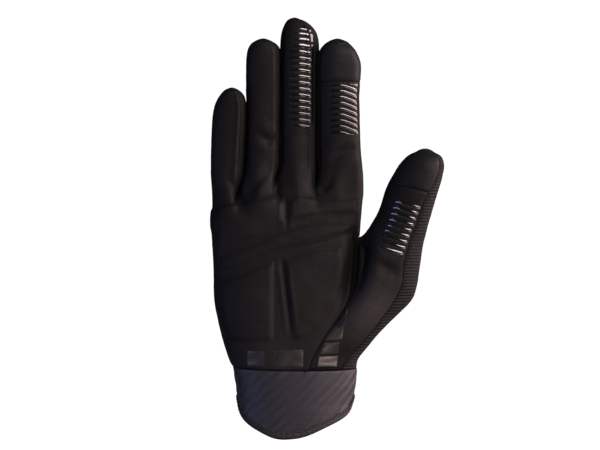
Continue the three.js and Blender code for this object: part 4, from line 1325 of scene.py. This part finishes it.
@functools.lru_cache(maxsize=1)
def knit_group():
    """Ribbed knit: fine ribs of loops along one direction, with the yarn's own fuzz."""
    nodes, given, result = new_group(
        "Ribbed knit", {"Vector": None, "Rib pitch": 0.0018, "Loop pitch": 0.0009, "Tilt": 0.0},
        ["Height", "Tone"])
    turned = nodes.add(
        "ShaderNodeVectorRotate", {"Vector": given["Vector"], "Angle": given["Tilt"]}, rotation_type="Y_AXIS")
    axes = nodes.add("ShaderNodeSeparateXYZ", {"Vector": turned.outputs["Vector"]}).outputs
    waves = []
    for way, pitch in ((axes["Z"], "Rib pitch"), (nodes.math("ADD", axes["X"], axes["Y"]), "Loop pitch")):
        turns = nodes.math("DIVIDE", nodes.math("MULTIPLY", way, 2 * math.pi), given[pitch])
        waves.append(nodes.math("SINE", turns))
    ribs, loops = waves
    fuzz = nodes.add("ShaderNodeTexNoise", {"Vector": given["Vector"], "Scale": 1500.0}).outputs["Fac"]
    tone = nodes.math("ADD", nodes.math("MULTIPLY", ribs, 0.3), 0.5)
    nodes.feed(result, {
        "Height": nodes.weighted((ribs, 0.5), (loops, 0.2), (fuzz, 0.5)),
        "Tone": nodes.math("ADD", tone, nodes.math("MULTIPLY", fuzz, 0.2)),
    })
    return nodes.tree


@functools.lru_cache(maxsize=1)
def wear_group():
    """Handling marks: a mask of broad soft patches."""
    nodes, given, result = new_group("Handling marks", {"Vector": None, "Scale": 24.0}, ["Mask"])
    patches = nodes.add("ShaderNodeTexNoise", {
        "Vector": given["Vector"], "Scale": given["Scale"], "Detail": 5.0, "Roughness": 0.6,
    })
    ramp = nodes.add("ShaderNodeMapRange", {
        "Value": patches.outputs["Fac"], "From Min": 0.35, "From Max": 0.7,
    }, interpolation_type="SMOOTHSTEP")
    nodes.feed(result, {"Mask": ramp.outputs["Result"]})
    return nodes.tree


@functools.lru_cache(maxsize=1)
def highlight_and_wear_group():
    """A round patch: a mask that falls from one at its middle to nothing at its reach, for the painted
    highlight and paler leather on the palm and the grips' thinner coat.
    """
    nodes, given, result = new_group(
        "Rubbed place", {"Vector": None, "Middle": None, "Reach": 0.03}, ["Mask"])
    away = nodes.add("ShaderNodeVectorMath", {0: given["Vector"], 1: given["Middle"]}, operation="DISTANCE")
    ramp = nodes.add("ShaderNodeMapRange", {
        "Value": away.outputs["Value"], "From Max": given["Reach"], "To Min": 1.0, "To Max": 0.0,
    }, interpolation_type="SMOOTHSTEP")
    nodes.feed(result, {"Mask": ramp.outputs["Result"]})
    return nodes.tree


def place_group(nodes, group, coordinates, **values):
    """The outputs of a group placed with these inputs."""
    inputs = {key.replace("_", " "): value for key, value in values.items()}
    return nodes.add("ShaderNodeGroup", {"Vector": coordinates, **inputs}, node_tree=group).outputs


def start_material(name):
    material = bpy.data.materials.new(name)
    material.use_nodes = True
    nodes = Nodes(material.node_tree)
    return material, nodes, material.node_tree.nodes["Principled BSDF"]


def object_place(nodes):
    return nodes.add("ShaderNodeTexCoord").outputs["Object"]


def between_colours(nodes, share, colour, dark, light):
    """A mix from a colour times dark to the same colour times light."""
    inputs = {"Factor": share}
    for key, amount in (("A", dark), ("B", light)):
        inputs[key] = (*[min(1.0, channel * amount) for channel in colour], 1)
    return nodes.add("ShaderNodeMix", inputs, data_type="RGBA").outputs["Result"]


def bumped(nodes, height, strength, distance):
    inputs = {"Strength": strength, "Distance": distance, "Height": height}
    return nodes.add("ShaderNodeBump", inputs).outputs["Normal"]


def between(nodes, mask, low, high):
    inputs = {"Value": mask, "To Min": low, "To Max": high}
    return nodes.add("ShaderNodeMapRange", inputs).outputs["Result"]


# Where the palm leather is painted paler: the middle and reach of each place in metres, and how pale it is.
# The first, on the ball of the thumb, is a painted highlight where the ball faces the light; the second makes
# the leather paler low on the palm, just above the wrist seam.
Rubbing = namedtuple("Rubbing", "middle reach share")
PALE_PATCHES = [
    Rubbing((0.047, -0.034, 0.071), 0.034, 0.75),
    Rubbing((-0.014, -0.02, 0.043), 0.034, 0.2),
]
# Between the lower joints of the middle and index fingers, where the grips' clear coat is rubbed thin
THIN_COAT = (0.014, -0.02, 0.166)

# How each material is drawn. grain is the scale of the leather's cells, amount how much of the slot's colour
# is left, band the pitch of broad ribs in the colour, and spread how much rougher handled places are.
Leather = namedtuple("Leather", "name grain nap roughness rubbings")
Knit = namedtuple(
    "Knit", "name rib_pitch tilt strength roughness amount gloss band tint", defaults=(0.0, (1, 1, 1)))
Silicone = namedtuple("Silicone", "name roughness coat gloss wear_scale spread thin_reach")
LOOKS = {
    "palm_leather": Leather("palm leather", 700.0, 0.8, 0.6, PALE_PATCHES),
    "tip_leather": Leather("tip leather", 1100.0, 0.6, 0.54, []),
    "stretch_fabric": Knit("stretch knit", 0.00175, 0.0, 0.9, 0.75, 0.29, 0.3),
    "side_fabric": Knit("side knit", 0.0012, math.radians(90), 0.4, 0.85, 0.4, 0.2),
    "cuff_fabric": Knit(
        "cuff elastic", 0.0011, math.radians(42), 0.04, 0.48, 0.56, 0.36, 0.0052, (1.0, 0.98, 1.15)),
    "hem_tape": Knit("hem tape", 0.0009, 0.0, 0.3, 0.6, 0.5, 0.4),
    "silicone": Silicone("silicone", 0.12, 1.0, 0.35, 120.0, 0.1, 0.055),
    "blocks": Silicone("block silicone", 0.28, 0.08, 1.0, 150.0, 0.14, 0.0),
}


def leather_material(look, colour):
    material, nodes, shader = start_material(look.name)
    coordinates = object_place(nodes)
    grain = place_group(nodes, grain_group(), coordinates, Scale=look.grain, Nap=look.nap)
    wear = place_group(nodes, wear_group(), coordinates, Scale=26.0)["Mask"]
    tone = nodes.math("MULTIPLY", nodes.weighted((grain["Tone"], 0.6), (wear, 0.4)), 0.12)
    # Each pale patch lightens the base colour round its middle: on the ball of the thumb this is a painted
    # highlight
    for pale_patch in look.rubbings:
        place = place_group(nodes, highlight_and_wear_group(), coordinates, Middle=pale_patch.middle, Reach=pale_patch.reach)
        tone = nodes.math("ADD", tone, nodes.math("MULTIPLY", place["Mask"], pale_patch.share))
    nodes.feed(shader, {
        "Base Color": between_colours(nodes, tone, colour, 0.18, 2.0),
        "Roughness": between(nodes, wear, look.roughness + 0.06, look.roughness - 0.06),
        "Normal": bumped(nodes, grain["Height"], 0.35, 0.00025),
        "Specular IOR Level": 0.14,
    })
    return material


def knit_material(look, colour):
    material, nodes, shader = start_material(look.name)
    coordinates = object_place(nodes)
    pitch = look.rib_pitch
    knit = place_group(
        nodes, knit_group(), coordinates, Rib_pitch=pitch, Loop_pitch=pitch * 0.55, Tilt=look.tilt)
    wear = place_group(nodes, wear_group(), coordinates, Scale=30.0)["Mask"]
    tone = nodes.weighted((knit["Tone"], 0.75), (wear, 0.25))
    if look.band:
        wide = place_group(
            nodes, knit_group(), coordinates, Rib_pitch=look.band, Loop_pitch=look.band * 0.6, Tilt=look.tilt)
        tone = nodes.weighted((tone, 0.4), (wide["Tone"], 0.6))
    tinted = [channel * share for channel, share in zip(colour, look.tint)]
    nodes.feed(shader, {
        "Base Color": between_colours(nodes, tone, tinted, 0.35 * look.amount, look.amount),
        "Roughness": between(nodes, wear, look.roughness + 0.05, look.roughness - 0.05),
        "Normal": bumped(nodes, knit["Height"], look.strength, 0.0005),
        "Specular IOR Level": look.gloss,
    })
    return material


def silicone_material(look, colour):
    """Moulded silicone. With a reach, its clear coat is rubbed thin round one place."""
    material, nodes, shader = start_material(look.name)
    coordinates = object_place(nodes)
    wear = place_group(nodes, wear_group(), coordinates, Scale=look.wear_scale)["Mask"]
    coat = look.coat
    if look.thin_reach:
        thin = place_group(nodes, highlight_and_wear_group(), coordinates, Middle=THIN_COAT, Reach=look.thin_reach)
        coat = nodes.math("MULTIPLY", nodes.math("SUBTRACT", 1.0, thin["Mask"]), coat)
    nodes.feed(shader, {
        "Base Color": between_colours(nodes, wear, colour, 0.2, 0.35),
        "Roughness": between(nodes, wear, look.roughness, look.roughness + look.spread),
        "Normal": bumped(nodes, wear, 0.1, 0.0001),
        "Specular IOR Level": look.gloss,
        "Coat Weight": coat,
        "Coat IOR": 1.75,
        "Coat Roughness": 0.08,
    })
    return material


def backdrop_material():
    """Pale ground, bright enough to be as white as the air round the glove."""
    material, nodes, shader = start_material("pale ground")
    nodes.feed(shader, {
        "Base Color": (0.2, 0.19, 0.18, 1),
        "Roughness": 0.9,
        "Emission Color": (1, 1, 1, 1),
        "Emission Strength": nodes.add("ShaderNodeLightPath").outputs["Is Camera Ray"],
    })
    return material


@functools.lru_cache(maxsize=None)
def finish(name):
    """The material of a slot, or of the wrist blocks."""
    look = LOOKS[name]
    colour = getattr(bpy.context.scene.glove_colours, "silicone" if name == "blocks" else name)
    makers = {Leather: leather_material, Knit: knit_material, Silicone: silicone_material}
    return makers[type(look)](look, colour)


# Operators

PANEL_SLOTS = {
    "palm_panel": "palm_leather",
    "thumb_panel": "palm_leather",
    "index_tip_panel": "tip_leather",
    "thumb_tip_panel": "tip_leather",
    "back_panel": "stretch_fabric",
    "thumb_back_panel": "stretch_fabric",
    "side_strip_little_ring": "side_fabric",
    "side_strip_ring_middle": "side_fabric",
    "side_strip_middle_index": "side_fabric",
}


class GLOVE_OT_panels(bpy.types.Operator):
    """Cut the leather and fabric panels of the palm, back, fingers and thumb"""

    bl_idname = "glove.panels"
    bl_label = "Panels"

    def execute(self, context):
        sizes = context.scene.glove_sizes
        for name, slot in PANEL_SLOTS.items():
            thickness = sizes.leather if name in LEATHERS else sizes.fabric
            panel_piece(name, thickness, finish(slot), slot)
        return {"FINISHED"}


class GLOVE_OT_grips(bpy.types.Operator):
    """Mould the ribbed silicone grips of the fingers and thumb"""

    bl_idname = "glove.grips"
    bl_label = "Ribbed grips"

    def execute(self, context):
        for name, grip in GRIPS.items():
            grip_piece(name, grip, context.scene.glove_sizes.rib_rise, finish("silicone"))
        return {"FINISHED"}


class GLOVE_OT_wrist_blocks(bpy.types.Operator):
    """Print the glossy blocks above the wrist seam"""

    bl_idname = "glove.wrist_blocks"
    bl_label = "Wrist blocks"

    def execute(self, context):
        for name, corners in WRIST_BLOCKS.items():
            block_piece(name, corners, finish("blocks"))
        return {"FINISHED"}


class GLOVE_OT_cuff(bpy.types.Operator):
    """Weave the elastic cuff and fold the tape round its hem"""

    bl_idname = "glove.cuff"
    bl_label = "Cuff"

    def execute(self, context):
        sizes = context.scene.glove_sizes
        seam = CUFF_SEAM_ANGLE
        cuff_piece("cuff_front", -seam, seam, sizes, finish("cuff_fabric"))
        cuff_piece("cuff_back", seam, 360 - seam, sizes, finish("cuff_fabric"))
        binding_piece(sizes, finish("hem_tape"))
        return {"FINISHED"}


class GLOVE_OT_stitches(bpy.types.Operator):
    """Sew the lines of stitches along the seams, pads and hem"""

    bl_idname = "glove.stitches"
    bl_label = "Stitches"

    def execute(self, context):
        sizes = context.scene.glove_sizes
        pitch = sizes.stitch_pitch / MM
        tips = beside_seam("index_tip_panel", "palm_panel", TIP_SEAM_OFFSET, pitch)
        tips += beside_seam("thumb_tip_panel", "thumb_panel", TIP_SEAM_OFFSET, pitch)
        ball = beside_seam("thumb_panel", "palm_panel", BALL_SEAM_OFFSET, pitch)
        pads = [round_pad(outline, PAD_OFFSET, pitch) for outline in PADS.values()]
        angles = np.linspace(0, 360, HEM_STITCHES + 1)[:-1]
        height = hem_height(angles) + HEM_STITCH_HEIGHT
        places = cuff_places(angles, height, HEM_STITCH_RISE)
        hem = [(places, cuff_places(angles, height, HEM_STITCH_RISE + 1) - places)]
        for name, lines, thread, slot in (
            ("tip_stitches", tips, SEAM_THREAD, "tip_leather"),
            ("thumb_stitches", ball, SEAM_THREAD, "palm_leather"),
            ("pad_stitches", pads, PAD_THREAD, "palm_leather"),
            ("hem_stitches", hem, HEM_THREAD, "hem_tape"),
        ):
            stitch_piece(name, lines, sizes, thread, finish(slot), slot)
        return {"FINISHED"}


class GLOVE_OT_stage(bpy.types.Operator):
    """Set up the pale ground, the soft lights and the camera"""

    bl_idname = "glove.stage"
    bl_label = "Stage"

    def execute(self, context):
        add_ground()
        add_lights()
        add_camera()
        return {"FINISHED"}


GROUND_RADIUS = 0.7
GROUND_SIDES = 48
GROUND_Z = -0.03


def add_ground():
    mesh = bpy.data.meshes.new("ground")
    turns = [2 * math.pi * k / GROUND_SIDES for k in range(GROUND_SIDES)]
    edge = [(GROUND_RADIUS * math.cos(turn), GROUND_RADIUS * math.sin(turn), 0) for turn in turns]
    mesh.from_pydata(edge, [], [tuple(range(GROUND_SIDES))])
    mesh.materials.append(backdrop_material())
    ground = bpy.data.objects.new("ground", mesh)
    ground.location = (0, 0, GROUND_Z)
    bpy.context.scene.collection.objects.link(ground)


# Azimuth is 0 straight in front of the palm and grows towards the thumb; angles are in degrees.
Light = namedtuple("Light", "name azimuth elevation distance size colour watts")
LIGHTS = [
    Light("window", 50, 28, 1.6, (2.5, 0.4), (1.0, 0.88, 0.87), 34.0),
    Light("warm side", 92, -4, 1.1, (1.5, 1.5), (1.0, 0.75, 0.72), 29.0),
    Light("warm low", 38, -12, 0.6, (0.55, 0.2), (1.0, 0.74, 0.66), 1.4),
    Light("cool side", -46, 26, 1.4, (0.1, 0.1), (0.25, 0.42, 1.0), 0.16),
    Light("cool fill", -64, -12, 0.5, (0.4, 0.16), (0.36, 0.48, 1.0), 0.8),
]
LIGHT_TARGET = (0, 0, 0.11)
ROOM_LIGHT = 0.04


def add_lights():
    scene = bpy.context.scene
    for light in LIGHTS:
        lamp = bpy.data.lights.new(light.name, "AREA")
        lamp.shape = "RECTANGLE"
        lamp.size, lamp.size_y = light.size
        lamp.color = light.colour
        lamp.energy = light.watts
        holder = bpy.data.objects.new(light.name, lamp)
        azimuth, elevation = math.radians(light.azimuth), math.radians(light.elevation)
        flat = math.cos(elevation)
        away = Vector((math.sin(azimuth) * flat, -math.cos(azimuth) * flat, math.sin(elevation)))
        holder.location = Vector(LIGHT_TARGET) + away * light.distance
        holder.rotation_euler = away.to_track_quat("Z", "Y").to_euler()
        holder.visible_camera = False
        scene.collection.objects.link(holder)
    world = bpy.data.worlds.new("white room")
    world.use_nodes = True
    scene.world = world
    nodes = Nodes(world.node_tree)
    seen = nodes.add("ShaderNodeLightPath").outputs["Is Camera Ray"]
    nodes.feed(world.node_tree.nodes["Background"], {
        "Color": (1, 1, 1, 1),
        "Strength": nodes.math("ADD", seen, ROOM_LIGHT),
    })
    scene.view_settings.view_transform = "Standard"
    scene.view_settings.look = "None"


CAMERA_DISTANCE = 2.0
FRAME_WIDTH = 0.3444
SENSOR = 36.0
LOOK_AT = (0.00287, 0.0, 0.1223)


def add_camera():
    scene = bpy.context.scene
    camera = bpy.data.cameras.new("camera")
    camera.sensor_width = SENSOR
    camera.lens = SENSOR * CAMERA_DISTANCE / FRAME_WIDTH
    camera.clip_end = 20
    holder = bpy.data.objects.new("camera", camera)
    holder.location = (LOOK_AT[0], LOOK_AT[1] - CAMERA_DISTANCE, LOOK_AT[2])
    holder.rotation_euler = (math.pi / 2, 0, 0)
    scene.collection.objects.link(holder)
    scene.camera = holder


class GLOVE_PT_builder(bpy.types.Panel):
    bl_idname = "GLOVE_PT_builder"
    bl_label = "Cycling glove"
    bl_space_type = "VIEW_3D"
    bl_region_type = "UI"
    bl_category = "Glove"

    def draw(self, context):
        for operator in STEPS:
            self.layout.operator(operator.bl_idname)
        for group in (context.scene.glove_sizes, context.scene.glove_colours):
            for key in group.bl_rna.properties.keys():
                if key not in ("rna_type", "name"):
                    self.layout.prop(group, key)


STEPS = [
    GLOVE_OT_stage,
    GLOVE_OT_panels,
    GLOVE_OT_grips,
    GLOVE_OT_wrist_blocks,
    GLOVE_OT_cuff,
    GLOVE_OT_stitches,
]
CLASSES = [GloveSizes, GloveColours, *STEPS, GLOVE_PT_builder]


def register():
    for kind in CLASSES:
        bpy.utils.register_class(kind)
    bpy.types.Scene.glove_sizes = bpy.props.PointerProperty(type=GloveSizes)
    bpy.types.Scene.glove_colours = bpy.props.PointerProperty(type=GloveColours)


def unregister():
    del bpy.types.Scene.glove_colours
    del bpy.types.Scene.glove_sizes
    for kind in reversed(CLASSES):
        bpy.utils.unregister_class(kind)


def main():
    register()
    bpy.ops.glove.stage()
    bpy.ops.glove.panels()
    bpy.ops.glove.grips()
    bpy.ops.glove.wrist_blocks()
    bpy.ops.glove.cuff()
    bpy.ops.glove.stitches()


if __name__ == "__main__":
    main()
